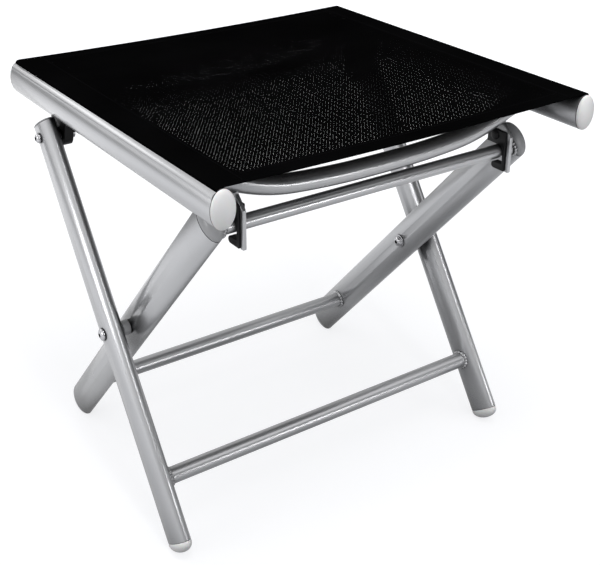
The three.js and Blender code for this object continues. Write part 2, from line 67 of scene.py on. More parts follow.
# The legs' lean from level: the outer legs' line runs through both joints, and the inner legs' is the CAD's
OUTER_LEAN = math.atan2(HINGE.z - PIVOT.z, HINGE.y - PIVOT.y)
INNER_LEAN = math.radians(48.3)

# The turns about X that lean an upright leg so
OUTER_TILT = OUTER_LEAN - math.pi / 2
INNER_TILT = math.pi / 2 - INNER_LEAN

# Colours that no finish sets: painted shade in seams, and painted shade in sheltered places
SEAM_SHADE = (0.012, 0.012, 0.013, 1.0)
SHELTER_SHADE = (0.02, 0.02, 0.022, 1.0)

# Side of the floor, and the place of the photo's camera, in metres
FLOOR_SIDE = 40
CAMERA_PLACE = (-0.65496, -0.95505, 0.83269)

# Weld beads: points to a ripple, and how far a ripple stands out, as a share of the bead's radius
WELD_STEPS = 6
WELD_UNEVENNESS = 0.22

# Steps along one stitch, and along the open mesh from its middle to a rail and from end to end
STITCH_STEPS = 6
MESH_STEPS_ACROSS = 24
MESH_STEPS_ALONG = 30

# Where a hem ends, the mesh's lines of corners lie this far to each side of it, in metres
HEM_STEP = 0.0008

# Radius of the bend where the cloth goes down into a rail's slot, its places over the rail outwards from the
# rail's middle, and how far inwards from there it runs free, in metres
SLOT_BEND = 0.0011
CREST_PLACES = (0.0028, 0.0014, 0.0)
RUNS_FREE = 0.005

# Small fits, in metres: a seam between pieces, and how far a cutter runs past what it cuts
SEAM = 0.0003
OVERRUN = 0.01

# What counts as met: corners this near are one, a face this near a plane lies in it, and a normal this
# steep is that of a level face
DOUBLES = 1e-6
TOUCHING = 1e-7
NEARLY_LEVEL = 0.99

# Corners round each section: rails and legs, caps, crossbars, room for the spreaders, bolts, domes, small
# bores and drills; a nut and a socket have six
TUBE_CORNERS, CAP_CORNERS, BAR_CORNERS, ROOM_CORNERS = 96, 80, 72, 64
BOLT_CORNERS, DOME_CORNERS, BORE_CORNERS, DRILL_CORNERS = 56, 48, 40, 32
HEX_CORNERS = 6

# Steps round a hinge eye, round a latch guide's hook, and between two points of the spreaders' bow
EYE_STEPS = 28
HOOK_STEPS = 12
BOW_STEPS = 8

# The spreaders' bow: how far out and how high each point lies, as shares of the half span and of the rise
BOW_RUN_SHARES = (0, 0.25, 0.482, 0.61, 0.723, 0.848, 0.94, 1)
BOW_RISE_SHARES = (0, 0.025, 0.12, 0.245, 0.448, 0.746, 0.925, 1)

# What takes a nut's corners off: its width, its straight part and its crown, as shares of the nut's width and
# height
NUT_CHAMFER = (1.06, 0.86, 0.6)


def length(name, description, default):
    return FloatProperty(name=name, description=description, default=default, unit="LENGTH",
                         subtype="DISTANCE", precision=5)


def number(name, description, default):
    return FloatProperty(name=name, description=description, default=default)


def rotation(name, description, degrees):
    return FloatProperty(name=name, description=description, default=math.radians(degrees), subtype="ANGLE")


def colour(name, description, default):
    return FloatVectorProperty(name=name, description=description, default=default, size=4, min=0, max=1,
                               subtype="COLOR")


class FootstoolSizes(bpy.types.PropertyGroup):
    """Sizes of the footstool's finish."""

    tube_wall: length("Tube wall", "Wall of the legs, crossbars and spreaders", 0.0015)
    rail_wall: length("Rail wall", "Wall of the seat rails", 0.0018)
    bolt_socket: length("Bolt socket", "Half the width of a bolt's or cap nut's hexagonal socket", 0.0026)
    socket_floor: number("Socket floor", "Height of a bolt's socket's floor, as a share of its head's", 0.35)
    groove: length("Seam groove", "Rounding of the edges on both sides of a cap's seam", 0.001)
    fine_edge: length("Fine edge", "Rounding of the edges of bolts, nuts and screws", 0.0002)
    bolt_bore: length("Bolt bore", "Radius of the holes that the bolts run through", 0.0043)
    bolt_radius: length("Bolt radius", "Radius of the bolts' shanks", 0.004)
    head_rim: length("Head rim", "Straight part under the domes of bolts and screws", 0.001)
    channel_out: length("Channel out", "Rod channel, outwards from the rail's middle", 0.0044)
    channel_up: length("Channel up", "Rod channel, upwards from the rail's middle", 0.011)
    channel_radius: length("Channel radius", "Inner radius of the rod channel", 0.004)
    slot_wide: length("Slot width", "Slot that the cloth goes into the rail by", 0.0026)
    cloth_thick: length("Cloth thickness", "Thickness of the open mesh", 0.00041)
    hem_thick: length("Hem thickness", "Thickness of the folded hems", 0.0015)
    cloth_sag: length("Sag", "How far the sling's middle hangs below the rails' tops", 0.0025)
    side_hem: length("Side hem", "Width of the hems that run along the rails", 0.0310)
    end_hem: length("End hem", "Width of the front and rear hems", 0.0205)
    weave_across: length("Weave across", "Repeat of the basket weave across the sling: four yarns", 0.0037)
    weave_along: length("Weave along", "Repeat of the basket weave along the sling: four yarns", 0.0049)
    hole_wide: length("Hole width", "Width of a hole in the mesh", 0.00095)
    hole_long: length("Hole length", "Length of a hole in the mesh", 0.00118)
    stitch_long: length("Stitch length", "Length of one stitch", 0.0027)
    stitch_pitch: length("Stitch pitch", "From one stitch to the next", 0.0036)
    stitch_radius: length("Stitch radius", "Half the thickness of the thread", 0.00032)
    stitch_inset: length("Stitch inset", "From a hem's inner edge to its line of stitches", 0.0035)
    weld_radius: length("Weld radius", "Radius of the weld beads", 0.0025)
    weld_ripples: IntProperty(name="Weld ripples", description="Ripples round each weld bead", default=17)


class FootstoolColours(bpy.types.PropertyGroup):
    """Colours of the footstool's finishes."""

    silver: colour("Silver paint", "Painted tubes", (0.535, 0.54, 0.555, 1))
    white_plastic: colour("White plastic", "Rail caps and outer feet", (0.90, 0.90, 0.905, 1))
    grey_plastic: colour("Grey plastic", "Inner feet and leg caps", (0.42, 0.425, 0.44, 1))
    black_plastic: colour("Black plastic", "Brackets and guides", (0.012, 0.012, 0.013, 1))
    cloth: colour("Cloth", "Mesh sling", (0.0026, 0.0026, 0.0028, 1))
    thread: colour("Thread", "Hem stitching", (0.005, 0.005, 0.0055, 1))
    steel: colour("Plated steel", "Bolts, nuts and screws", (0.62, 0.62, 0.64, 1))
    dust: colour("Dust", "Dust near the floor", (0.36, 0.34, 0.31, 1))
    floor: colour("Floor", "Plain floor", (0.3, 0.303, 0.31, 1))


# Reading the frame


def box_middle(node):
    low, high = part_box(node)
    return (low + high) / 2


def box_half(node):
    low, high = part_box(node)
    return (high - low) / 2


def along_leg(tilt):
    """The direction of a leg's length, upwards, for the turn about X that leans it."""
    return Euler((tilt, 0, 0)).to_matrix() @ Vector((0, 0, 1))


def reach(node, direction):
    """How far a frame node reaches from the pivot along a direction: least and most."""
    places = [(corner.co - PIVOT).dot(direction) for corner in frame["nodes"][node].data.vertices]
    return min(places), max(places)


def upright(place, tilt):
    """A place measured from the pivot, as if the leg stood upright."""
    return Euler((-tilt, 0, 0)).to_matrix() @ (place - PIVOT)


# Working with operators


def activate(*pieces):
    """Selects only these pieces, in object mode, with the first one active."""
    if bpy.context.object is not None and bpy.context.object.mode != "OBJECT":
        bpy.ops.object.mode_set(mode="OBJECT")
    bpy.ops.object.select_all(action="DESELECT")
    for piece in pieces:
        piece.select_set(True)
    if pieces:
        bpy.context.view_layer.objects.active = pieces[0]


def added(name):
    """Names the primitive that was just added."""
    piece = bpy.context.object
    piece.name = name
    piece.data.name = name
    return piece


def add_primitive(name, add, **settings):
    """Adds a primitive by its operator, with everything else deselected, and names it."""
    activate()
    add(**settings)
    return added(name)


def settle(piece, place=(0, 0, 0), turn=(0, 0, 0), size=(1, 1, 1)):
    """Scales, turns and moves a piece, and puts all of that into its mesh."""
    activate(piece)
    piece.scale = size
    piece.rotation_euler = turn
    piece.location = place
    bpy.ops.object.transform_apply(location=True, rotation=True, scale=True)
    return piece


def edit(piece):
    activate(piece)
    bpy.ops.object.mode_set(mode="EDIT")


def leave_edit():
    bpy.ops.object.mode_set(mode="OBJECT")


def pick_faces(piece, test):
    """In edit mode, selects only the faces whose middle and normal pass the test."""
    bpy.ops.mesh.select_mode(type="FACE")
    mesh = bmesh.from_edit_mesh(piece.data)
    for face in mesh.faces:
        face.select_set(test(face.calc_center_median(), face.normal))
    mesh.select_flush_mode()
    bmesh.update_edit_mesh(piece.data)


def extrude(*move):
    """In edit mode, extrudes what is selected by a move (x, y, z)."""
    bpy.ops.mesh.extrude_region_move(TRANSFORM_OT_translate={"value": move})


def apply_modifier(piece, kind, **settings):
    activate(piece)
    modifier = piece.modifiers.new(kind.lower(), kind)
    for name, value in settings.items():
        setattr(modifier, name, value)
    bpy.ops.object.modifier_apply(modifier=modifier.name)


def give_wall(piece, wall):
    apply_modifier(piece, "SOLIDIFY", thickness=wall, offset=-1, use_even_offset=True)


def round_edges(piece, width, segments=2, sharper_than=40):
    apply_modifier(piece, "BEVEL", width=width, segments=segments, limit_method="ANGLE",
                   angle_limit=math.radians(sharper_than))


def cut(piece, *cutters, operation="DIFFERENCE"):
    """Cuts the piece with each cutter, or joins them to it, and removes the cutters."""
    for cutter in cutters:
        apply_modifier(piece, "BOOLEAN", operation=operation, object=cutter, solver="EXACT")
        bpy.data.objects.remove(cutter)
    return piece


def face_outwards(piece):
    edit(piece)
    bpy.ops.mesh.select_all(action="SELECT")
    bpy.ops.mesh.remove_doubles(threshold=DOUBLES)
    bpy.ops.mesh.normals_make_consistent(inside=False)
    leave_edit()


def finish_piece(piece, body, slot, nodes=(), finish=None, smooth_to=35):
    """Shades a piece, gives it its slot's finish or its own, ties it to its body, and hides the nodes it
    replaces.
    """
    activate(piece)
    bpy.ops.object.shade_smooth_by_angle(angle=math.radians(smooth_to))
    piece.data.materials.clear()
    piece.data.materials.append(bpy.data.materials[finish or slot.replace("_", " ")])
    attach(piece, body)
    if nodes:
        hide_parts(*nodes)
    return piece


# Basic forms


def add_bar(name, radius, low, high, corners, half_y=None):
    """A solid round or oval bar along Z."""
    piece = add_primitive(name, bpy.ops.mesh.primitive_cylinder_add, vertices=corners, radius=1,
                          depth=high - low)
    return settle(piece, (0, 0, (low + high) / 2), size=(radius, half_y or radius, 1))


def add_tube(name, half_x, half_y, low, high, wall, corners):
    """A hollow oval tube along Z, open at both ends."""
    piece = add_primitive(name, bpy.ops.mesh.primitive_cylinder_add, vertices=corners, radius=1,
                          depth=high - low, end_fill_type="NOTHING")
    settle(piece, (0, 0, (low + high) / 2), size=(half_x, half_y, 1))
    give_wall(piece, wall)
    return piece


def add_crowned_cap(name, half_x, half_y, rim, crown, plug, corners, crown_steps, groove=0.0):
    """A cap on +Z: a straight rim from z = 0, then a crown; plug is (half x, half y, depth) below it."""
    piece = add_primitive(name, bpy.ops.mesh.primitive_circle_add, vertices=corners, radius=1,
                          fill_type="NGON")
    settle(piece, size=(half_x, half_y, 1))
    edit(piece)
    bpy.ops.mesh.select_all(action="SELECT")
    extrude(0, 0, rim)
    height = rim
    for step in range(1, crown_steps + 1):
        turn, before = (math.pi / 2 * s / crown_steps for s in (step, step - 1))
        rise = crown * (math.sin(turn) - math.sin(before))
        height += rise
        extrude(0, 0, rise)
        if step == crown_steps:
            bpy.ops.mesh.merge(type="CENTER")
        else:
            narrower = math.cos(turn) / math.cos(before)
            bpy.ops.transform.resize(value=(narrower, narrower, 1), center_override=(0, 0, height))
    if plug:
        plug_x, plug_y, depth = plug
        pick_faces(piece, lambda middle, normal: abs(middle.z) < TOUCHING and abs(normal.z) > NEARLY_LEVEL)
        extrude(0, 0, 0)
        bpy.ops.transform.resize(value=(plug_x / half_x, plug_y / half_y, 1), center_override=(0, 0, 0))
        extrude(0, 0, -depth)
    leave_edit()
    face_outwards(piece)
    if groove:
        round_edges(piece, groove, sharper_than=50)
    return piece


def add_plate(name, outline, low, high):
    """A plate across X, from low to high, whose outline is a list of (y, z) places."""
    piece = add_primitive(name, bpy.ops.mesh.primitive_circle_add, vertices=len(outline), radius=1,
                          fill_type="NGON")
    for corner, (y, z) in zip(piece.data.vertices, outline):
        corner.co = (low, y, z)
    edit(piece)
    bpy.ops.mesh.select_all(action="SELECT")
    extrude(high - low, 0, 0)
    leave_edit()
    face_outwards(piece)
    return piece


def arc(middle, radius, start, stop, steps):
    """Places on an arc about middle, from the start angle to the stop angle in degrees."""
    y, z = middle
    turns = [math.radians(start + (stop - start) * step / steps) for step in range(steps + 1)]
    return [(y + radius * math.cos(turn), z + radius * math.sin(turn)) for turn in turns]


def add_run(name, places, radius, roundness, radii=None, cyclic=False):
    """A tube along a line of places, made as a path and turned into a mesh."""
    piece = add_primitive(name, bpy.ops.curve.primitive_nurbs_path_add)
    line = piece.data
    spline = line.splines[0]
    spline.points.add(len(places) - len(spline.points))
    spline.type = "POLY"
    for index, place in enumerate(places):
        spline.points[index].co = (*place, 1)
        spline.points[index].radius = radii[index] if radii else 1
    spline.use_cyclic_u = cyclic
    line.bevel_depth = radius
    line.bevel_resolution = roundness
    line.use_fill_caps = False
    activate(piece)
    bpy.ops.object.convert(target="MESH")
    piece = bpy.context.object
    piece.data.name = name
    return piece


def across(piece, side, x, y, z):
    """Turns a form from +Z to face along X, to the right or left, and puts it in its place."""
    return settle(piece, place=(x, y, z), turn=(0, side * math.pi / 2, 0))


def lean(piece, x, tilt):
    """Leans an upright leg piece about the pivot, and moves it out to its leg."""
    return settle(piece, place=(x, PIVOT.y, PIVOT.z), turn=(tilt, 0, 0))


# Shader node groups and materials


def fill(tree, sockets, values):
    """Links each socket to the output it is given, or sets it to the plain value."""
    for name, value in values.items():
        if isinstance(value, bpy.types.NodeSocket):
            tree.links.new(value, sockets[name])
        else:
            sockets[name].default_value = value


def put(tree, kind, inputs=None, **settings):
    """Adds a node, sets what it is told, and links or fills its inputs."""
    made = tree.nodes.new(kind)
    for name, value in settings.items():
        setattr(made, name, value)
    fill(tree, made.inputs, inputs or {})
    return made


def maths(tree, operation, *values, clamp=False):
    node = put(tree, "ShaderNodeMath", dict(enumerate(values)), operation=operation, use_clamp=clamp)
    return node.outputs[0]


def times(tree, one, other, clamp=False):
    return maths(tree, "MULTIPLY", one, other, clamp=clamp)


def spread(tree, value, low, high, to_low=0.0, to_high=1.0):
    """Maps a value's range to another one, held at its ends."""
    return put(tree, "ShaderNodeMapRange", {0: value, 1: low, 2: high, 3: to_low, 4: to_high}).outputs[0]


def blend_colour(tree, share, one, other):
    """One colour where the share is 0, the other where it is 1."""
    mixed = put(tree, "ShaderNodeMix", {0: share, 6: one, 7: other}, data_type="RGBA")
    return mixed.outputs[2]


def new_group(name, inputs, outputs):
    """An empty node group with named inputs, with their defaults, and named outputs."""
    kinds = {float: "NodeSocketFloat", tuple: "NodeSocketColor"}
    group = bpy.data.node_groups.new(name, "ShaderNodeTree")
    for label, default in inputs.items():
        socket = group.interface.new_socket(label, in_out="INPUT", socket_type=kinds[type(default)])
        socket.default_value = default
    for label, kind in outputs.items():
        group.interface.new_socket(label, in_out="OUTPUT", socket_type=kinds[kind])
    return group, group.nodes.new("NodeGroupInput").outputs, group.nodes.new("NodeGroupOutput").inputs


def object_noise(tree, scale, detail, stretch=(1, 1, 1)):
    """Noise on the piece's own coordinates."""
    place = put(tree, "ShaderNodeTexCoord").outputs["Object"]
    if stretch != (1, 1, 1):
        place = put(tree, "ShaderNodeMapping", {"Vector": place, "Scale": stretch}).outputs[0]
    return put(tree, "ShaderNodeTexNoise", {"Vector": place, "Scale": scale, "Detail": detail}).outputs[0]


def grain_group():
    """Patches of two tints, and the fine grain of paint or moulded plastic."""
    group, given, result = new_group(
        "surface grain",
        {"Light": (1.0, 1.0, 1.0, 1.0), "Dark": (0.8, 0.8, 0.8, 1.0), "Patch Scale": 14.0,
         "Grain Scale": 900.0, "Rough Low": 0.3, "Rough High": 0.4},
        {"Colour": tuple, "Roughness": float, "Height": float})
    patches = object_noise(group, given["Patch Scale"], 3.0)
    grain = object_noise(group, given["Grain Scale"], 2.0)
    share = spread(group, patches, 0.3, 0.7)
    mottled = maths(group, "ADD", times(group, patches, 0.6), times(group, grain, 0.4))
    fill(group, result, {"Colour": blend_colour(group, share, given["Dark"], given["Light"]),
                         "Roughness": spread(group, mottled, 0.35, 0.65, given["Rough Low"],
                                             given["Rough High"]),
                         "Height": grain})
    return group


def closed_in(tree, distance, open_enough, closed, amount):
    """A mask of places with other surfaces within the distance, scaled by the amount: where shade is painted.
    """
    openness = put(tree, "ShaderNodeAmbientOcclusion", {"Distance": distance}, samples=6).outputs["AO"]
    return times(tree, spread(tree, openness, open_enough, closed), amount)


def wear_dust_and_shade_group():
    """Worn edges, where a rounded normal leaves the true one, painted shade in seams and sheltered places,
    and dust low down.
    """
    group, given, result = new_group(
        "edge wear, dust and painted shade",
        {"Colour": (0.5, 0.5, 0.5, 1.0), "Worn": (0.6, 0.6, 0.6, 1.0), "Dust": (0.4, 0.4, 0.4, 1.0),
         "Wear": 0.5, "Seam Shading": 0.9, "Shelter Shading": 0.3, "Dust Height": 0.03, "Dust Amount": 0.3},
        {"Colour": tuple, "Mask": float})
    rounded = put(group, "ShaderNodeBevel", {"Radius": 0.0008}, samples=4).outputs[0]
    true = put(group, "ShaderNodeNewGeometry").outputs["Normal"]
    likeness = put(group, "ShaderNodeVectorMath", {0: rounded, 1: true}, operation="DOT_PRODUCT")
    edge = spread(group, likeness.outputs["Value"], 0.995, 0.93)
    broken = spread(group, object_noise(group, 160.0, 4.0), 0.42, 0.62)
    worn = times(group, times(group, edge, broken), given["Wear"], clamp=True)
    scuffed_and_shaded = blend_colour(group, worn, given["Colour"], given["Worn"])
    # Painted shade: darker in seams and crevices, where another surface lies within a few millimetres
    seam = closed_in(group, distance=0.0028, open_enough=0.75, closed=0.35, amount=given["Seam Shading"])
    scuffed_and_shaded = blend_colour(group, seam, scuffed_and_shaded, SEAM_SHADE)
    # Painted shade: darker under the cloth and where parts stand close together, within a few centimetres
    painted_shelter_shade = closed_in(group, distance=0.07, open_enough=0.88, closed=0.36, amount=given["Shelter Shading"])
    scuffed_and_shaded = blend_colour(group, painted_shelter_shade, scuffed_and_shaded, SHELTER_SHADE)
    place = put(group, "ShaderNodeTexCoord").outputs["Object"]
    height = put(group, "ShaderNodeSeparateXYZ", {0: place}).outputs[2]
    low = spread(group, height, 0.0, given["Dust Height"], 1.0, 0.0)
    patchy = spread(group, object_noise(group, 60.0, 4.0), 0.35, 0.7)
    dusty = times(group, times(group, low, patchy), given["Dust Amount"], clamp=True)
    fill(group, result, {"Colour": blend_colour(group, dusty, scuffed_and_shaded, given["Dust"]),
                         "Mask": maths(group, "MAXIMUM", maths(group, "MAXIMUM", worn, dusty), seam)})
    return group


def scratch_group():
    """Fine streaks along one way, as a mask and a height."""
    group, given, result = new_group("fine scratches", {"Scale": 90.0, "Amount": 0.5}, {"Mask": float})
    streaks = object_noise(group, given["Scale"], 5.0, stretch=(1, 9, 9))
    thin = spread(group, streaks, 0.58, 0.66)
    fill(group, result, {"Mask": times(group, thin, given["Amount"])})
    return group


def weave_group():
    """A basket weave, two yarns over two, on the cloth's own UV map in metres, and the holes it leaves."""
    group, given, result = new_group(
        "open basket weave",
        {"Repeat Across": 0.0037, "Repeat Along": 0.0049, "Hole Width": 0.001, "Hole Length": 0.0015,
         "Half Width": 0.2, "Half Length": 0.2},
        {"Height": float, "Painted Yarn Shading": float, "Hole": float, "Hem": float})
    place = put(group, "ShaderNodeUVMap", uv_map="flat").outputs[0]
    axes = put(group, "ShaderNodeSeparateXYZ", {0: place}).outputs
    wave, ridge, gap, inside, away = [], [], [], [], []
    for axis, repeat, hole, half in ((0, "Repeat Across", "Hole Width", "Half Width"),
                                     (1, "Repeat Along", "Hole Length", "Half Length")):
        repeats = maths(group, "DIVIDE", axes[axis], given[repeat])
        wave.append(maths(group, "COSINE", times(group, repeats, 2 * math.pi)))
        gap.append(maths(group, "SINE", times(group, repeats, 2 * math.pi)))
        ridge.append(maths(group, "COSINE", times(group, repeats, 8 * math.pi)))
        halves = maths(group, "FRACT", times(group, repeats, 2.0))
        from_middle = maths(group, "ABSOLUTE", maths(group, "SUBTRACT", halves, 0.5))
        off = times(group, from_middle, given[repeat])
        reach_out = given[hole]
        if axis == 0:
            # Every second row of holes is wider, and no two holes are quite the same
            banded = maths(group, "COSINE", times(group, repeats, math.pi))
            uneven = maths(group, "MULTIPLY_ADD", object_noise(group, 520.0, 1.0), 1.8, 0.1)
            rows = maths(group, "MULTIPLY_ADD", banded, 0.3, 1.0)
            reach_out = times(group, times(group, reach_out, rows), uneven)
        inside.append(maths(group, "LESS_THAN", off, reach_out))
        away.append(maths(group, "GREATER_THAN", maths(group, "ABSOLUTE", axes[axis]), given[half]))
    checker = spread(group, times(group, *wave), -0.2, 0.2)
    long_yarns = times(group, checker, maths(group, "ADD", ridge[0], 1.0))
    cross_yarns = times(group, maths(group, "SUBTRACT", 1.0, checker), maths(group, "ADD", ridge[1], 1.0))
    crown = maths(group, "ABSOLUTE", times(group, *wave))
    yarns = times(group, maths(group, "ADD", long_yarns, cross_yarns), 0.3)
    height = maths(group, "ADD", yarns, times(group, crown, 0.4))
    every_other = maths(group, "GREATER_THAN", times(group, *gap), 0.0)
    hem = maths(group, "MAXIMUM", *away)
    open_here = times(group, times(group, *inside), maths(group, "SUBTRACT", every_other, hem), clamp=True)
    # Painted shade on the yarns: darker where the weave's height is low, between the yarns, and lighter on
    # their crowns
    fill(group, result, {"Height": height, "Painted Yarn Shading": spread(group, height, 0.0, 1.0, 0.45, 1.0),
                         "Hole": open_here, "Hem": hem})
    return group


def shade(tint, factor):
    """A tint made lighter or darker."""
    return tuple(min(1.0, part * factor) for part in tint[:3]) + (1.0,)


def new_material(name):
    """A material with its shader and output, and nothing else."""
    material = bpy.data.materials.new(name)
    material.use_nodes = True
    material.node_tree.nodes.clear()
    shader = put(material.node_tree, "ShaderNodeBsdfPrincipled")
    put(material.node_tree, "ShaderNodeOutputMaterial", {"Surface": shader.outputs[0]})
    return material, material.node_tree, shader.inputs


def bump(tree, height, distance, strength):
    node = put(tree, "ShaderNodeBump", {"Height": height, "Distance": distance, "Strength": strength})
    return node.outputs[0]


def worn_and_shaded_surface(name, tint, grain, wear, patch, grain_scale, rough, worn, wear_amount, patch_scale=14.0,
                 dust=(0.02, 0.25), bump_depth=0.00004, bump_strength=0.25, shelter_shade=0.3):
    """A material with grain, worn edges, dust and painted shade in seams and sheltered places, and the
    shader's inputs for what is its own.
    """
    colours = bpy.context.scene.footstool_colours
    _, tree, shader = new_material(name)
    tint = tuple(tint)
    grained = put(tree, "ShaderNodeGroup", {
        "Light": tint, "Dark": shade(tint, patch), "Patch Scale": patch_scale, "Grain Scale": grain_scale,
        "Rough Low": rough[0], "Rough High": rough[1]}, node_tree=grain)
    weathered_and_shaded = put(tree, "ShaderNodeGroup", {
        "Colour": grained.outputs["Colour"], "Worn": shade(tint, worn), "Dust": tuple(colours.dust),
        "Wear": wear_amount, "Shelter Shading": shelter_shade, "Dust Height": dust[0], "Dust Amount": dust[1]},
        node_tree=wear)
    rougher = times(tree, weathered_and_shaded.outputs["Mask"], 0.15)
    fill(tree, shader, {"Base Color": weathered_and_shaded.outputs["Colour"],
                        "Roughness": maths(tree, "ADD", grained.outputs["Roughness"], rougher),
                        "Normal": bump(tree, grained.outputs["Height"], bump_depth, bump_strength)})
    return tree, shader


def make_finishes():
    """Makes every finish but the cloth; each is named as its material slot, but for the thread."""
    colours = bpy.context.scene.footstool_colours
    # The wear group also paints shade in seams and sheltered places
    grain, wear, scratches = grain_group(), wear_dust_and_shade_group(), scratch_group()

    # The silver paint gets painted shade under the cloth and between parts
    tree, shader = worn_and_shaded_surface("silver paint", colours.silver, grain, wear, patch=0.94, patch_scale=9.0,
                                grain_scale=1500.0, rough=(0.27, 0.35), worn=1.35, wear_amount=0.4,
                                dust=(0.05, 0.12), bump_depth=0.00003, bump_strength=0.12,
                                shelter_shade=0.95)
    fill(tree, shader, {"Metallic": 0.78, "Coat Weight": 1.0, "Coat Roughness": 0.1})

    tree, shader = worn_and_shaded_surface("white plastic", colours.white_plastic, grain, wear, patch=0.95,
                                grain_scale=1100.0, rough=(0.34, 0.46), worn=0.86, wear_amount=0.35,
                                dust=(0.012, 0.5))
    fill(tree, shader, {"Subsurface Weight": 0.08, "Subsurface Scale": 0.002})

    worn_and_shaded_surface("grey plastic", colours.grey_plastic, grain, wear, patch=0.92, grain_scale=1100.0,
                 rough=(0.26, 0.36), worn=1.25, wear_amount=0.4, dust=(0.012, 0.5))

    tree, shader = worn_and_shaded_surface("black plastic", colours.black_plastic, grain, wear, patch=0.7,
                                grain_scale=1300.0, rough=(0.34, 0.5), worn=4.0, wear_amount=0.6,
                                dust=(0.02, 0.1), bump_depth=0.00006, bump_strength=0.35)
    fill(tree, shader, {"Specular IOR Level": 0.22})

    # The steel gets painted shade round its heads, where other parts stand close
    tree, shader = worn_and_shaded_surface("plated steel", colours.steel, grain, wear, patch=0.9,
                                grain_scale=700.0, rough=(0.03, 0.08), worn=1.1, wear_amount=0.3,
                                bump_depth=0.00001, bump_strength=0.08, shelter_shade=1.0)
    streaks = put(tree, "ShaderNodeGroup", node_tree=scratches)
    streaked = maths(tree, "ADD", shader["Roughness"].links[0].from_socket, streaks.outputs["Mask"])
    fill(tree, shader, {"Metallic": 1.0, "Roughness": maths(tree, "MINIMUM", streaked, 0.6)})

    _, tree, shader = new_material("stitching thread")
    twist = object_noise(tree, 2600.0, 2.0, stretch=(1, 3, 1))
    fill(tree, shader, {
        "Base Color": blend_colour(tree, twist, shade(colours.thread, 0.5), shade(colours.thread, 1.8)),
        "Roughness": spread(tree, twist, 0.3, 0.7, 0.45, 0.7), "Normal": bump(tree, twist, 0.0001, 0.5),
        "Specular IOR Level": 0.0})


def make_cloth():
    """The coated mesh: crossing threads, holes between them, and close hems."""
    colours, sizes = bpy.context.scene.footstool_colours, bpy.context.scene.footstool_sizes
    half_wide, half_long = sling_flat_size()
    _, tree, shader = new_material("black mesh cloth")
    weave = put(tree, "ShaderNodeGroup", {
        "Repeat Across": sizes.weave_across, "Repeat Along": sizes.weave_along,
        "Hole Width": sizes.hole_wide, "Hole Length": sizes.hole_long,
        "Half Width": half_wide - sizes.side_hem - tab_drop(), "Half Length": half_long - sizes.end_hem},
        node_tree=weave_group())
    patches = spread(tree, object_noise(tree, 11.0, 3.0), 0.3, 0.7)
    tint = blend_colour(tree, patches, shade(colours.cloth, 0.75), shade(colours.cloth, 1.35))
    # A hole goes through both faces of the cloth, so its thickness closes it to a low view
    fill(tree, shader, {
        # Base colour with painted shade between the yarns
        "Base Color": blend_colour(tree, weave.outputs["Painted Yarn Shading"], shade(colours.cloth, 0.3), tint),
        "Roughness": spread(tree, object_noise(tree, 420.0, 2.0), 0.3, 0.7, 0.6, 0.75),
        "Normal": bump(tree, weave.outputs["Height"], 0.0003, 0.6),
        "Alpha": maths(tree, "SUBTRACT", 1.0, weave.outputs["Hole"]), "Specular IOR Level": 0.0})


# Sling


def rail_top(out, clear):
    """Height of the cloth's middle over a rail, that far out from the rail's middle."""
    middle, half = box_middle("left_seat_rail"), box_half("left_seat_rail")
    return middle.z + (half.z + clear) * math.sqrt(1 - (out / (half.x + clear)) ** 2)


def tab_drop():
    """How far the cloth goes down into a rail's slot, along the cloth."""
    sizes = bpy.context.scene.footstool_sizes
    clear = SEAM + sizes.hem_thick / 2
    return rail_top(sizes.channel_out, clear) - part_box("seat_sling")[0].z


def sling_section():
    """The cloth's line across the seat: places (x, z) from the left slot to the right one."""
    sizes = bpy.context.scene.footstool_sizes
    rail_x = -box_middle("left_seat_rail").x
    clear = SEAM + sizes.hem_thick / 2
    slot_x = rail_x + sizes.channel_out
    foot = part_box("seat_sling")[0].z
    mouth = rail_top(sizes.channel_out, SEAM)
    half = [(slot_x, foot), (slot_x, (foot + mouth) / 2), (slot_x, mouth)]
    for turn in (30, 60):
        angle = math.radians(turn)
        half.append((slot_x - SLOT_BEND * (1 - math.cos(angle)), mouth + SLOT_BEND * math.sin(angle)))
    for out in CREST_PLACES:
        half.append((rail_x + out, rail_top(out, clear)))
    top = rail_top(0, clear)
    inner_hem = rail_x + sizes.channel_out - sizes.side_hem
    steps = MESH_STEPS_ACROSS
    marks = [rail_x - RUNS_FREE, inner_hem + HEM_STEP, inner_hem - HEM_STEP]
    marks += [(inner_hem - 3 * HEM_STEP) * (1 - step / steps) for step in range(steps)]
    for x in marks:
        half.append((x, top - sizes.cloth_sag * (1 - (x / rail_x) ** 2)))
    middle = [(0, top - sizes.cloth_sag)]
    left = [(-x, z) for x, z in half]
    return left + middle + half[::-1]


def arc_places(section):
    """How far along the cloth each place of the section lies, from the middle."""
    run = [0.0]
    for (x0, z0), (x1, z1) in zip(section, section[1:]):
        run.append(run[-1] + math.hypot(x1 - x0, z1 - z0))
    return [place - run[-1] / 2 for place in run]


def sling_flat_size():
    """Half the flat width and half the flat length of the sling."""
    return arc_places(sling_section())[-1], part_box("seat_sling")[1].y


def hem_lines(half_long):
    """Places along the sling, from front to rear, close together where the hems end."""
    sizes = bpy.context.scene.footstool_sizes
    inner, steps = half_long - sizes.end_hem, MESH_STEPS_ALONG
    lines = [-half_long, -half_long + sizes.end_hem / 2, -inner - HEM_STEP, -inner + HEM_STEP]
    lines += [(-inner + 3 * HEM_STEP) * (1 - 2 * step / steps) for step in range(steps + 1)]
    return lines + [inner - HEM_STEP, inner + HEM_STEP, half_long - sizes.end_hem / 2, half_long]


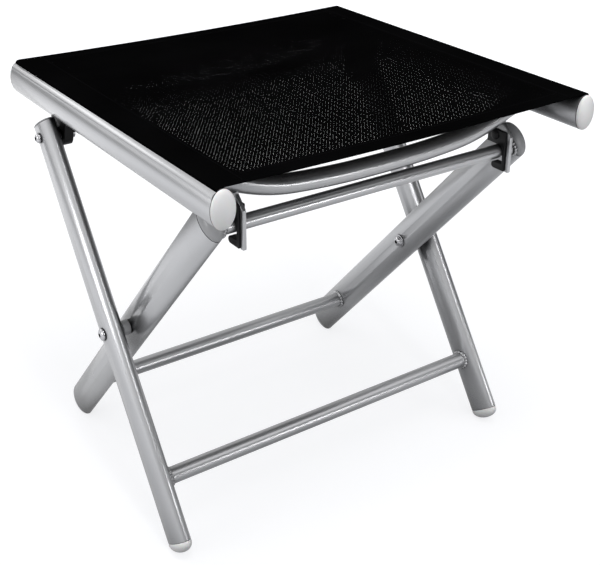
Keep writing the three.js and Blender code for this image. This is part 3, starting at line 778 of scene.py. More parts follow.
class FOOTSTOOL_OT_add_sling(bpy.types.Operator):
    """Adds the mesh sling with its folded hems"""

    bl_idname = "footstool.add_sling"
    bl_label = "Sling"

    def execute(self, context):
        sizes = context.scene.footstool_sizes
        section = sling_section()
        arcs = arc_places(section)
        half_wide, half_long = sling_flat_size()
        lines = hem_lines(half_long)
        piece = add_primitive("mesh_sling", bpy.ops.mesh.primitive_grid_add, x_subdivisions=len(section) - 1,
                              y_subdivisions=len(lines) - 1, size=2)
        mesh = piece.data
        flat = mesh.uv_layers[0] if mesh.uv_layers else mesh.uv_layers.new()
        flat.name = "flat"
        row = len(section)
        for index, corner in enumerate(mesh.vertices):
            x, z = section[index % row]
            corner.co = (x, lines[index // row], z)
        for loop in mesh.loops:
            flat.data[loop.index].uv = (arcs[loop.vertex_index % row], lines[loop.vertex_index // row])
        hems = piece.vertex_groups.new(name="hems")
        inner_wide = half_wide - tab_drop() - sizes.side_hem
        inner_long = half_long - sizes.end_hem
        doubled = [corner.index for corner in mesh.vertices
                   if abs(arcs[corner.index % row]) > inner_wide or abs(corner.co.y) > inner_long]
        hems.add(doubled, 1.0, "REPLACE")
        apply_modifier(piece, "SOLIDIFY", thickness=sizes.hem_thick, offset=0, vertex_group=hems.name,
                       thickness_vertex_group=sizes.cloth_thick / sizes.hem_thick)
        round_edges(piece, sizes.hem_thick / 3, segments=3, sharper_than=60)
        finish_piece(piece, "seat", "black_fabric", ["seat_sling"], finish="black mesh cloth")
        return {"FINISHED"}


def add_stitch(name, along_y):
    """One stitch of thread, bowed up in its middle, at the origin."""
    sizes = bpy.context.scene.footstool_sizes
    places, radii = [], []
    for step in range(STITCH_STEPS + 1):
        share = step / STITCH_STEPS * 2 - 1
        run = share * sizes.stitch_long / 2
        rise = sizes.stitch_radius * (1 - 1.9 * share * share)
        places.append((0, run, rise) if along_y else (run, 0, rise))
        radii.append(math.sqrt(max(1 - share ** 4, 0.04)))
    piece = add_run(name, places, sizes.stitch_radius, roundness=1, radii=radii)
    edit(piece)
    bpy.ops.mesh.select_all(action="SELECT")
    bpy.ops.mesh.select_non_manifold()
    bpy.ops.mesh.fill_holes(sides=0)
    leave_edit()
    face_outwards(piece)
    return piece


class FOOTSTOOL_OT_add_stitching(bpy.types.Operator):
    """Adds the lines of stitches along the sling's hems"""

    bl_idname = "footstool.add_stitching"
    bl_label = "Stitching"

    def execute(self, context):
        sizes = context.scene.footstool_sizes
        rail_x = -box_middle("left_seat_rail").x
        clear = SEAM + sizes.hem_thick / 2
        top = rail_top(0, clear)
        inner_x = rail_x + sizes.channel_out - sizes.side_hem
        half_long = sling_flat_size()[1]
        line_x = inner_x + sizes.stitch_inset
        line_y = half_long - sizes.end_hem + sizes.stitch_inset
        surface = sizes.hem_thick / 2
        rows = []
        for name, side in SIDES + ENDS:
            runs_along = name in ("left", "right")
            reach_out = half_long - sizes.stitch_pitch if runs_along else line_x - sizes.stitch_pitch
            count = int(2 * reach_out / sizes.stitch_pitch)
            start = -(count - 1) * sizes.stitch_pitch / 2
            row = add_stitch(f"{name}_hem_stitches", runs_along)
            step = (0, sizes.stitch_pitch, 0) if runs_along else (sizes.stitch_pitch, 0, 0)
            apply_modifier(row, "ARRAY", count=count, use_relative_offset=False, use_constant_offset=True,
                           constant_offset_displace=step)
            settle(row, place=(side * line_x, start, 0) if runs_along else (start, side * line_y, 0))
            for corner in row.data.vertices:
                sag = sizes.cloth_sag * (1 - (corner.co.x / rail_x) ** 2)
                corner.co.z += top - sag + surface
            rows.append(row)
        activate(*rows)
        bpy.ops.object.join()
        piece = added("hem_stitching")
        finish_piece(piece, "seat", "black_fabric", finish="stitching thread", smooth_to=60)
        half_wide, half_long = sling_flat_size()
        return {"FINISHED"}


# Seat rails, spreaders and what they carry


class FOOTSTOOL_OT_add_rails(bpy.types.Operator):
    """Adds the two oval seat rails with their rod channels"""

    bl_idname = "footstool.add_rails"
    bl_label = "Seat rails"

    def execute(self, context):
        sizes = context.scene.footstool_sizes
        for name, side in SIDES:
            node = f"{name}_seat_rail"
            middle, half = box_middle(node), box_half(node)
            long = half.y + OVERRUN
            rail = add_tube(f"{name}_rail_tube", half.x, half.z, -half.y, half.y, sizes.rail_wall,
                            TUBE_CORNERS)
            # The rail lies on its side while it is cut: its Y points up, and Z will run to the front
            place = (side * sizes.channel_out, sizes.channel_up, 0)
            channel = add_bar("channel", sizes.channel_radius + sizes.rail_wall, -half.y, half.y,
                              BORE_CORNERS)
            cut(rail, settle(channel, place=place), operation="UNION")
            bore = add_bar("channel_bore", sizes.channel_radius, -long, long, BORE_CORNERS)
            settle(bore, place=place)
            slot = add_primitive("slot", bpy.ops.mesh.primitive_cube_add, size=1)
            settle(slot, size=(sizes.slot_wide, half.z, 2 * long))
            settle(slot, place=(place[0], place[1] + half.z / 2, 0))
            cut(rail, bore, slot)
            round_edges(rail, sizes.groove, sharper_than=55)
            settle(rail, place=middle, turn=(math.pi / 2, 0, 0))
            finish_piece(rail, "seat", "silver_paint", [node])
        return {"FINISHED"}


class FOOTSTOOL_OT_add_rail_caps(bpy.types.Operator):
    """Adds the crowned caps on the rails' ends"""

    bl_idname = "footstool.add_rail_caps"
    bl_label = "Rail caps"

    rim: length("Rim", "Straight part of the cap outside the rail", 0.0008)

    def execute(self, context):
        sizes = context.scene.footstool_sizes
        for name, _ in SIDES:
            rail = f"{name}_seat_rail"
            middle, half = box_middle(rail), box_half(rail)
            for end_name, end in ENDS:
                node = f"{name}_{end_name}_rail_cap"
                low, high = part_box(node)
                face = end * (half.y + SEAM)
                outside = max(abs(low.y), abs(high.y)) - abs(face)
                inside = abs(face) - min(abs(low.y), abs(high.y))
                fit = sizes.rail_wall + 2 * SEAM
                cap = add_crowned_cap(f"{name}_{end_name}_rail_end", half.x, half.z, self.rim,
                                      outside - self.rim, (half.x - fit, half.z - fit, inside),
                                      CAP_CORNERS, crown_steps=14, groove=sizes.groove)
                settle(cap, place=(middle.x, face, middle.z), turn=(-end * math.pi / 2, 0, 0))
                finish_piece(cap, "seat", "white_plastic", [node])
        return {"FINISHED"}


def bow_curve(values, steps):
    """Smooth values through the table's own ones, with steps to each stretch."""
    ends = [2 * values[0] - values[1], *values, 2 * values[-1] - values[-2]]
    smooth = []
    for a, b, c, d in zip(ends, ends[1:], ends[2:], ends[3:]):
        for step in range(steps):
            t = step / steps
            smooth.append(b + t * (c - a + t * (2 * a - 5 * b + 4 * c - d + t * (3 * (b - c) + d - a))) / 2)
    return [*smooth, values[-1]]


def spreader_places(y):
    """Places along a spreader, from the left rail's wall to the right one's."""
    rail_x, rail_half = -box_middle("left_seat_rail").x, box_half("left_seat_rail").x
    low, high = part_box("front_spreader")
    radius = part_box("front_spreader")[1].y - box_middle("front_spreader").y
    middle_z = low.z + radius
    end_z = high.z - radius
    half_span = rail_x - rail_half
    mirrored_runs = [-share for share in BOW_RUN_SHARES[:0:-1]] + list(BOW_RUN_SHARES)
    mirrored_rises = list(BOW_RISE_SHARES[:0:-1]) + list(BOW_RISE_SHARES)
    runs, rises = bow_curve(mirrored_runs, BOW_STEPS), bow_curve(mirrored_rises, BOW_STEPS)
    places = [(run * half_span, y, middle_z + rise * (end_z - middle_z)) for run, rise in zip(runs, rises)]
    beyond = rail_half
    first, last = places[0], places[-1]
    return [(first[0] - beyond, y, first[2])] + places + [(last[0] + beyond, y, last[2])]


def spreader_height(x):
    """Height of the spreaders' middle line that far from the seat's middle."""
    places = spreader_places(0)
    return next(after[2] for after in places if after[0] >= x)


def add_rail_filler(side, grow):
    """A solid oval bar where a rail is, to cut other pieces with."""
    node = "left_seat_rail" if side < 0 else "right_seat_rail"
    middle, half = box_middle(node), box_half(node)
    bar = add_bar("rail_filler", half.x + grow, -half.y, half.y, TUBE_CORNERS, half.z + grow)
    return settle(bar, place=middle, turn=(math.pi / 2, 0, 0))


class FOOTSTOOL_OT_add_spreaders(bpy.types.Operator):
    """Adds the two bowed tubes between the rails"""

    bl_idname = "footstool.add_spreaders"
    bl_label = "Spreaders"

    def execute(self, context):
        sizes = context.scene.footstool_sizes
        for name, _ in ENDS:
            node = f"{name}_spreader"
            radius = box_half(node).y
            tube = add_run(f"{name}_spreader_tube", spreader_places(box_middle(node).y), radius,
                           roundness=10)
            give_wall(tube, sizes.tube_wall)
            cut(tube, *(add_rail_filler(side, 0) for _, side in SIDES))
            finish_piece(tube, "seat", "silver_paint", [node])
        return {"FINISHED"}


def weld_ring(name, radius, surface):
    """A rippled bead round a bar's end; surface(u, v) gives how far along the bar it meets the other tube."""
    sizes = bpy.context.scene.footstool_sizes
    steps = WELD_STEPS * sizes.weld_ripples
    places, radii = [], []
    for step in range(steps):
        turn = 2 * math.pi * step / steps
        u, v = radius * math.cos(turn), radius * math.sin(turn)
        places.append((surface(u, v), u, v))
        ripple = math.sin(turn * sizes.weld_ripples) + 0.5 * math.sin(turn * 5 + 1)
        radii.append(1 + WELD_UNEVENNESS * ripple)
    return add_run(name, places, sizes.weld_radius, roundness=3, radii=radii, cyclic=True)


class FOOTSTOOL_OT_add_spreader_welds(bpy.types.Operator):
    """Adds the weld beads where the spreaders meet the rails"""

    bl_idname = "footstool.add_spreader_welds"
    bl_label = "Spreader welds"

    def execute(self, context):
        middle, half = box_middle("left_seat_rail"), box_half("left_seat_rail")
        for name, _ in ENDS:
            node = f"{name}_spreader"
            radius = box_half(node).y
            end_z = spreader_places(0)[-1][2]
            y = box_middle(node).y
            for side_name, side in SIDES:

                def meets_rail(_, v, side=side):
                    high = (end_z + v - middle.z) / half.z
                    return side * (-middle.x - half.x * math.sqrt(max(1 - high * high, 0.0)))

                bead = weld_ring(f"{side_name}_{name}_spreader_weld", radius, meets_rail)
                settle(bead, place=(0, y, end_z))
                finish_piece(bead, "seat", "silver_paint", smooth_to=80)
        return {"FINISHED"}


class FOOTSTOOL_OT_add_hinge_brackets(bpy.types.Operator):
    """Adds the black hinge brackets under the rails, and their screws"""

    bl_idname = "footstool.add_hinge_brackets"
    bl_label = "Hinge brackets"

    lug_thick: length("Lug thickness", "Thickness of the hinge eye's lug", 0.0106)
    flange_above: length("Flange above", "From the hinge's middle up to the flange's underside", 0.026)
    edge: length("Edge", "Rounding of the bracket's edges", 0.0007)
    screw_radius: length("Screw radius", "Radius of a screw's shank", 0.0021)
    socket: length("Socket", "Half the width of a screw's hexagonal socket", 0.0016)
    socket_floor: number("Socket floor", "Height of the socket's floor, as a share of the head's", 0.45)

    def execute(self, context):
        sizes = context.scene.footstool_sizes
        spreader = box_middle("rear_spreader")
        spreader_radius = box_half("rear_spreader").y
        for name, side in SIDES:
            node = f"{name}_hinge_bracket"
            low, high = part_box(node)
            eye = HINGE.z - low.z
            foot = HINGE.z + self.flange_above
            inner = min(abs(low.x), abs(high.x))
            outer = max(abs(low.x), abs(high.x))
            lug_low, lug_high = sorted((side * inner, side * (inner + self.lug_thick)))
            outline = [(low.y, high.z), (low.y, foot)]
            outline += arc((HINGE.y, HINGE.z), eye, 180, 360, EYE_STEPS)
            outline += [(high.y, foot), (high.y, high.z)]
            bracket = add_plate(f"{name}_bracket", outline, lug_low, lug_high)
            saddle_low, saddle_high = sorted((side * inner, side * outer))
            saddle = add_plate("saddle", [(low.y, foot), (high.y, foot), (high.y, high.z), (low.y, high.z)],
                               saddle_low, saddle_high)
            cut(bracket, saddle, operation="UNION")
            bore = add_bar("bore", sizes.bolt_bore, -OVERRUN, OVERRUN, BORE_CORNERS)
            across(bore, 1, side * (inner + self.lug_thick / 2), HINGE.y, HINGE.z)
            keep_out = add_bar("spreader_room", spreader_radius + SEAM, -2 * OVERRUN, 2 * OVERRUN,
                               ROOM_CORNERS)
            across(keep_out, 1, side * inner, spreader.y, spreader_height(side * inner))
            cut(bracket, add_rail_filler(side, SEAM), keep_out, bore)
            round_edges(bracket, self.edge, segments=3)
            finish_piece(bracket, "seat", "black_plastic", [node])
            for end_name, _ in ENDS:
                self.add_screw(f"{name}_{end_name}", foot - SEAM, sizes)
        return {"FINISHED"}

    def add_screw(self, name, seat_z, sizes):
        """A domed screw that points up, its head's underside at seat_z."""
        node = f"{name}_bracket_screw"
        low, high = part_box(node)
        place = box_middle(node)
        head_radius = box_half(node).x
        head = seat_z - low.z
        shank = (self.screw_radius, self.screw_radius, high.z - seat_z)
        screw = add_crowned_cap(f"{name}_screw", head_radius, head_radius, sizes.head_rim,
                                head - sizes.head_rim, shank, BORE_CORNERS, crown_steps=8,
                                groove=sizes.fine_edge)
        cut(screw, add_bar("socket", self.socket, head * self.socket_floor, head + OVERRUN, HEX_CORNERS))
        settle(screw, place=(place.x, place.y, seat_z), turn=(math.pi, 0, 0))
        finish_piece(screw, "seat", "plated_steel", [node])


class FOOTSTOOL_OT_add_latches(bpy.types.Operator):
    """Adds the latch plates, the black guides that hook over the latch bar, and their rivets"""

    bl_idname = "footstool.add_latches"
    bl_label = "Latches"

    strip_deep: length("Strip depth", "Depth of the plate's front strip", 0.0046)
    ear_drop: length("Ear height", "From the bar's middle up to the plate's ear", 0.012)
    front_shoulder: length("Front shoulder", "From the bar's middle up to the plate's front shoulder", 0.019)
    rear_shoulder: length("Rear shoulder", "From the bar's middle up to the plate's rear shoulder", 0.027)
    plate_reach: length("Plate reach", "From the bar's middle back to the plate's rear edge", 0.013)
    top_half: length("Top half", "Half the width of the plate's top", 0.0065)
    plate_edge: length("Plate edge", "Rounding of the plate's edges", 0.0005)
    guide_edge: length("Guide edge", "Rounding of the guide's edges", 0.0007)
    lip_reach: length("Lip reach", "From the bar's middle back to the lip's end", 0.0075)
    lip_tall: length("Lip height", "Height of the guide's lip", 0.0076)
    rivet_up: length("Rivet up", "From the bar's middle up to the rivet", 0.0175)
    rivet_back: length("Rivet back", "From the bar's middle back to the rivet", 0.0045)
    rivet_radius: length("Rivet radius", "Radius of a rivet's head", 0.0055)
    rivet_rim: length("Rivet rim", "Straight part of a rivet's head", 0.0006)
    rivet_shank: length("Rivet shank", "Radius of a rivet's shank", 0.002)

    def execute(self, context):
        bar = box_middle("latch_crossbar")
        bar_radius = box_half("latch_crossbar").z
        spreader_y = box_middle("front_spreader").y
        spreader_radius = box_half("front_spreader").y
        for name, side in SIDES:
            self.add_plate_piece(name, side, bar, spreader_y, spreader_radius)
            self.add_guide(name, bar, bar_radius)
            self.add_rivet(name, bar)
        return {"FINISHED"}

    def add_plate_piece(self, name, side, bar, spreader_y, spreader_radius):
        node = f"{name}_latch_plate"
        low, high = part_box(node)
        middle = box_middle(node)
        strip = low.y + self.strip_deep
        ear = bar.z + self.ear_drop
        rear = bar.y + self.plate_reach
        line = spreader_height(middle.x)
        top_front, top_rear = spreader_y - self.top_half, spreader_y + self.top_half
        under = line - spreader_radius
        outline = [(low.y, low.z), (strip, low.z), (strip, ear), (rear, ear),
                   (rear, bar.z + self.rear_shoulder), (top_rear, under), (top_rear, line),
                   (top_front, line), (top_front, under), (low.y, bar.z + self.front_shoulder)]
        plate = add_plate(f"{name}_plate", outline, low.x, high.x)
        tube = add_bar("spreader_room", spreader_radius, -OVERRUN, OVERRUN, ROOM_CORNERS)
        cut(plate, across(tube, 1, middle.x, spreader_y, line))
        round_edges(plate, self.plate_edge, segments=3, sharper_than=30)
        finish_piece(plate, "seat", "silver_paint", [node])

    def add_guide(self, name, bar, bar_radius):
        node = f"{name}_latch_guide"
        low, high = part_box(node)
        plate_low, plate_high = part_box(f"{name}_latch_plate")
        gap = bar_radius + SEAM
        lip_top = low.z + self.lip_tall
        lip_end = bar.y + self.lip_reach
        lip_round = self.lip_tall / 2
        outline = [(low.y, low.z)]
        outline += arc((lip_end - lip_round, low.z + lip_round), lip_round, -90, 90, HOOK_STEPS)
        outline += [(bar.y - gap, lip_top)]
        outline += arc((bar.y, bar.z), gap, 180, 90, HOOK_STEPS)
        outline += [(high.y, bar.z + gap), (high.y, high.z), (low.y, high.z)]
        guide = add_plate(f"{name}_guide", outline, low.x, high.x)
        ear = bar.z + self.ear_drop - SEAM
        rear = bar.y + self.plate_reach + SEAM
        pocket = add_plate("pocket", [(low.y - OVERRUN, ear), (rear, ear), (rear, high.z + OVERRUN),
                                      (low.y - OVERRUN, high.z + OVERRUN)],
                           plate_low.x - SEAM, plate_high.x + SEAM)
        cut(guide, pocket)
        round_edges(guide, self.guide_edge, segments=3, sharper_than=30)
        finish_piece(guide, "seat", "black_plastic", [node])

    def add_rivet(self, name, bar):
        node = f"{name}_latch_rivet"
        low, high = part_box(node)
        middle = box_middle(node)
        place_y, place_z = bar.y + self.rivet_back, bar.z + self.rivet_up
        guide_low, guide_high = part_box(f"{name}_latch_guide")
        heads = []
        for end, face, tip in ((-1, guide_low.x, low.x), (1, guide_high.x, high.x)):
            proud = abs(tip - face) - SEAM
            shank = (self.rivet_shank, self.rivet_shank, abs(face - middle.x))
            head = add_crowned_cap(f"{name}_rivet", self.rivet_radius, self.rivet_radius, self.rivet_rim,
                                   proud - self.rivet_rim, shank, DOME_CORNERS, crown_steps=8,
                                   groove=bpy.context.scene.footstool_sizes.fine_edge)
            heads.append(across(head, end, face + end * SEAM, place_y, place_z))
        activate(*heads)
        bpy.ops.object.join()
        rivet = added(f"{name}_rivet")
        finish_piece(rivet, "seat", "black_plastic", [node])


# Legs and crossbars

LEG_KINDS = (("outer", OUTER_TILT, "outer_legs"), ("inner", INNER_TILT, "inner_legs"))


class FOOTSTOOL_OT_add_legs(bpy.types.Operator):
    """Adds the four oval leg tubes"""

    bl_idname = "footstool.add_legs"
    bl_label = "Legs"

    def execute(self, context):
        sizes = context.scene.footstool_sizes
        for kind, tilt, body in LEG_KINDS:
            for name, _ in SIDES:
                node = f"{name}_{kind}_leg"
                half = leg_half(node, tilt)
                low, high = reach(node, along_leg(tilt))
                tube = add_tube(f"{name}_{kind}_leg_tube", half[0], half[1], low, high, sizes.tube_wall,
                                TUBE_CORNERS)
                heights = [0.0] + ([(HINGE - PIVOT).length] if kind == "outer" else [])
                for height in heights:
                    drill = add_bar("drill", sizes.bolt_bore, -2 * OVERRUN, 2 * OVERRUN, DRILL_CORNERS)
                    cut(tube, across(drill, 1, 0, 0, height))
                round_edges(tube, sizes.groove, sharper_than=55)
                lean(tube, box_middle(node).x, tilt)
                finish_piece(tube, body, "silver_paint", [node])
        return {"FINISHED"}


def leg_half(node, tilt):
    """Half a leg's section: across the stool, and along its depth."""
    depth = Euler((tilt, 0, 0)).to_matrix() @ Vector((0, 1, 0))
    return box_half(node).x, reach(node, depth)[1]


CROSSBARS = (("outer_crossbar", "outer", OUTER_TILT, "outer_legs"),
             ("inner_crossbar", "inner", INNER_TILT, "inner_legs"),
             ("latch_crossbar", "inner", INNER_TILT, "inner_legs"))


class FOOTSTOOL_OT_add_crossbars(bpy.types.Operator):
    """Adds the three crossbars, coped to the legs, and the weld beads round their ends"""

    bl_idname = "footstool.add_crossbars"
    bl_label = "Crossbars"

    def execute(self, context):
        sizes = context.scene.footstool_sizes
        for node, kind, tilt, body in CROSSBARS:
            radius = box_half(node).z
            place = upright(box_middle(node), tilt)
            leg = f"left_{kind}_leg"
            leg_x = -box_middle(leg).x
            half_wide, half_deep = leg_half(leg, tilt)
            bar = add_tube(f"{node}_tube", radius, radius, -leg_x, leg_x, sizes.tube_wall, BAR_CORNERS)
            across(bar, 1, 0, place.y, place.z)
            for _, side in SIDES:
                post = add_bar("post", half_wide, place.z - 4 * radius, place.z + 4 * radius, TUBE_CORNERS,
                               half_deep)
                cut(bar, settle(post, place=(side * leg_x, 0, 0)))
            lean(bar, 0, tilt)
            finish_piece(bar, body, "silver_paint", [node])
            for name, side in SIDES:

                def meets_leg(u, _, side=side):
                    deep = (place.y + u) / half_deep
                    return side * (leg_x - half_wide * math.sqrt(max(1 - deep * deep, 0.0)))

                bead = weld_ring(f"{name}_{node}_weld", radius, meets_leg)
                settle(bead, place=(0, place.y, place.z))
                lean(bead, 0, tilt)
                finish_piece(bead, body, "silver_paint", smooth_to=80)
        return {"FINISHED"}


class FOOTSTOOL_OT_add_leg_ends(bpy.types.Operator):
    """Adds the feet and the caps on the legs' tops"""

    bl_idname = "footstool.add_leg_ends"
    bl_label = "Feet and leg caps"

    # Each row: kind, node ending, facing, rim, crown, plug depth, slot
    rows = (("outer", "foot", -1, 0.0024, 0.01015, 0.016, "white_plastic"),
            ("inner", "foot", -1, 0.0008, 0.0099, 0.016, "grey_plastic"),
            ("outer", "top_plug", 1, 0.0010, 0.0020, 0.008, "grey_plastic"),
            ("inner", "top_cap", 1, 0.0015, 0.0130, 0.016, "grey_plastic"))

    def execute(self, context):
        sizes = context.scene.footstool_sizes
        tilts = {kind: (tilt, body) for kind, tilt, body in LEG_KINDS}
        for kind, ending, facing, rim, crown, depth, slot in self.rows:
            tilt, body = tilts[kind]
            for name, _ in SIDES:
                leg, node = f"{name}_{kind}_leg", f"{name}_{kind}_{ending}"
                half = leg_half(leg, tilt)
                fit = sizes.tube_wall + 2 * SEAM
                cap = add_crowned_cap(f"{node}_moulding", half[0], half[1], rim, crown,
                                      (half[0] - fit, half[1] - fit, depth), CAP_CORNERS,
                                      crown_steps=16, groove=sizes.groove)
                low, high = reach(leg, along_leg(tilt))
                if facing < 0:
                    settle(cap, place=(0, 0, low - SEAM), turn=(math.pi, 0, 0))
                else:
                    settle(cap, place=(0, 0, high + SEAM))
                lean(cap, box_middle(leg).x, tilt)
                if ending == "foot":
                    self.cut_at_floor(cap)
                finish_piece(cap, body, slot, [node])
        return {"FINISHED"}

    def cut_at_floor(self, cap):
        """Cuts off what reaches under the floor, and closes the flat."""
        edit(cap)
        bpy.ops.mesh.select_all(action="SELECT")
        bpy.ops.mesh.bisect(plane_co=(0, 0, 0), plane_no=(0, 0, -1), use_fill=True, clear_outer=True)
        leave_edit()
        face_outwards(cap)


# Bolts, nuts and washers


def add_bolt(name, node, side, radius, place):
    """A domed bolt: its head on the outer face of an outer leg, and its shank running inwards."""
    sizes = bpy.context.scene.footstool_sizes
    low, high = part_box(node)
    inside, outside = sorted((abs(low.x), abs(high.x)))
    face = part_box("right_outer_leg")[1].x + SEAM
    shank = (sizes.bolt_radius, sizes.bolt_radius, face - inside)
    bolt = add_crowned_cap(name, radius, radius, sizes.head_rim, outside - face - sizes.head_rim, shank,
                           BOLT_CORNERS, crown_steps=10, groove=sizes.fine_edge)
    head = outside - face
    cut(bolt, add_bar("socket", sizes.bolt_socket, head * sizes.socket_floor, head + OVERRUN, HEX_CORNERS))
    across(bolt, side, side * face, place.y, place.z)
    return finish_piece(bolt, "outer_legs", "plated_steel", [node])


def add_hex_nut(name, flat_half, thick, bore_radius):
    """A six-sided nut along Z from z = 0, its corners taken off."""
    nut = add_bar(name, flat_half / math.cos(math.pi / 6), 0, thick, HEX_CORNERS)
    wide, straight, crown = NUT_CHAMFER
    chamfer = add_crowned_cap("chamfer", flat_half * wide, flat_half * wide, thick * straight, thick * crown,
                              None, DOME_CORNERS, crown_steps=6)
    cut(nut, chamfer, operation="INTERSECT")
    cut(nut, add_bar("nut_bore", bore_radius, -OVERRUN, OVERRUN, DRILL_CORNERS))
    round_edges(nut, bpy.context.scene.footstool_sizes.fine_edge, sharper_than=35)
    return nut


class FOOTSTOOL_OT_add_pivots(bpy.types.Operator):
    """Adds the centre pivots: domed bolts, spacers and cap nuts"""

    bl_idname = "footstool.add_pivots"
    bl_label = "Pivots"

    head_radius: length("Head radius", "Radius of a pivot bolt's head", 0.007)
    spacer_edge: length("Spacer edge", "Rounding of a spacer's edges", 0.0006)
    flange: number("Flange", "A cap nut's flange, as a share of the nut's width", 1.5)
    flange_rim: length("Flange rim", "Straight part of a cap nut's flange", 0.0009)
    flange_crown: length("Flange crown", "Height of the flange's crown", 0.0006)
    hexagon: number("Hexagon", "A cap nut's hexagon, as a share of the nut's width", 1.16)
    dome: number("Dome", "A cap nut's dome, as a share of the nut's width", 1.08)
    nut_bore: length("Nut bore", "Radius of the bore through a cap nut's hexagon", 0.0005)

    def execute(self, context):
        sizes = context.scene.footstool_sizes
        for name, side in SIDES:
            add_bolt(f"{name}_pivot_screw", f"{name}_pivot_bolt", side, self.head_radius, PIVOT)
            node = f"{name}_pivot_spacer"
            half = box_half(node)
            spacer = add_tube(f"{name}_spacer", half.y, half.y, -half.x, half.x, half.y - sizes.bolt_bore,
                              ROOM_CORNERS)
            round_edges(spacer, self.spacer_edge, segments=3, sharper_than=50)
            across(spacer, 1, box_middle(node).x, PIVOT.y, PIVOT.z)
            finish_piece(spacer, "outer_legs", "grey_plastic", [node])
            self.add_cap_nut(name, side)
        return {"FINISHED"}

    def add_cap_nut(self, name, side):
        sizes = bpy.context.scene.footstool_sizes
        node = f"{name}_pivot_nut"
        low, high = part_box(node)
        half = box_half(node)
        thick = 2 * half.x
        # The hexagon is half as tall as the nut. The dome's rim starts inside it, and its crown at its top
        flange, dome = half.y * self.flange, half.y * self.dome
        base = add_crowned_cap(f"{name}_cap_nut", flange, flange, self.flange_rim, self.flange_crown, None,
                               BOLT_CORNERS, crown_steps=4)
        hexagon = add_hex_nut("hexagon", half.y * self.hexagon, thick * 0.5, self.nut_bore)
        crown = add_crowned_cap("dome", dome, dome, thick * 0.12, thick * 0.5, None, DOME_CORNERS,
                                crown_steps=12)
        cut(base, hexagon, settle(crown, place=(0, 0, thick * 0.38)), operation="UNION")
        cut(base, add_bar("socket", sizes.bolt_socket, thick * 0.5, thick + OVERRUN, HEX_CORNERS))
        inner_face = (low.x if side < 0 else high.x)
        across(base, -side, inner_face, PIVOT.y, PIVOT.z)
        finish_piece(base, "outer_legs", "plated_steel", [node])


class FOOTSTOOL_OT_add_hinges(bpy.types.Operator):
    """Adds the seat hinges: domed bolts, washers and nuts"""

    bl_idname = "footstool.add_hinges"
    bl_label = "Seat hinges"

    head_radius: length("Head radius", "Radius of a hinge bolt's head", 0.0056)
    washer_edge: length("Washer edge", "Rounding of a washer's edges", 0.0003)

    def execute(self, context):
        sizes = context.scene.footstool_sizes
        for name, side in SIDES:
            add_bolt(f"{name}_hinge_screw", f"{name}_hinge_bolt", side, self.head_radius, HINGE)
            washer_node = f"{name}_hinge_washer"
            half = box_half(washer_node)
            washer = add_tube(f"{name}_washer", half.y, half.y, -half.x, half.x, half.y - sizes.bolt_bore,
                              BOLT_CORNERS)
            round_edges(washer, self.washer_edge, sharper_than=50)
            across(washer, 1, box_middle(washer_node).x, HINGE.y, HINGE.z)
            finish_piece(washer, "outer_legs", "plated_steel", [washer_node])
            nut_node = f"{name}_hinge_nut"
            low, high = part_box(nut_node)
            nut = add_hex_nut(f"{name}_nut", box_half(nut_node).y, 2 * box_half(nut_node).x, sizes.bolt_bore)
            across(nut, -side, low.x if side < 0 else high.x, HINGE.y, HINGE.z)
            finish_piece(nut, "outer_legs", "plated_steel", [nut_node])
        return {"FINISHED"}


class FOOTSTOOL_OT_finish_rods(bpy.types.Operator):
    """Gives the hidden rods in the rails their black plastic"""

    bl_idname = "footstool.finish_rods"
    bl_label = "Sling rods"

    def execute(self, context):
        for name, _ in SIDES:
            rod = frame["nodes"][f"{name}_sling_rod"]
            rod.data.materials.clear()
            rod.data.materials.append(bpy.data.materials["black plastic"])
        return {"FINISHED"}


class FOOTSTOOL_OT_make_finishes(bpy.types.Operator):
    """Makes every material of the footstool"""

    bl_idname = "footstool.make_finishes"
    bl_label = "Finishes"

    def execute(self, context):
        make_finishes()
        make_cloth()
        return {"FINISHED"}


# Stage


def white_for_looks(tree, plain, mirrored, white):
    """White to the camera, the mirrored shader to reflections, and the plain one to other light."""
    path = put(tree, "ShaderNodeLightPath").outputs
    reflected = put(tree, "ShaderNodeMixShader", {0: path["Is Glossy Ray"], 1: plain, 2: mirrored}).outputs[0]
    seen = maths(tree, "MAXIMUM", path["Is Camera Ray"], path["Is Transmission Ray"])
    return put(tree, "ShaderNodeMixShader", {0: seen, 1: reflected, 2: white}).outputs[0]


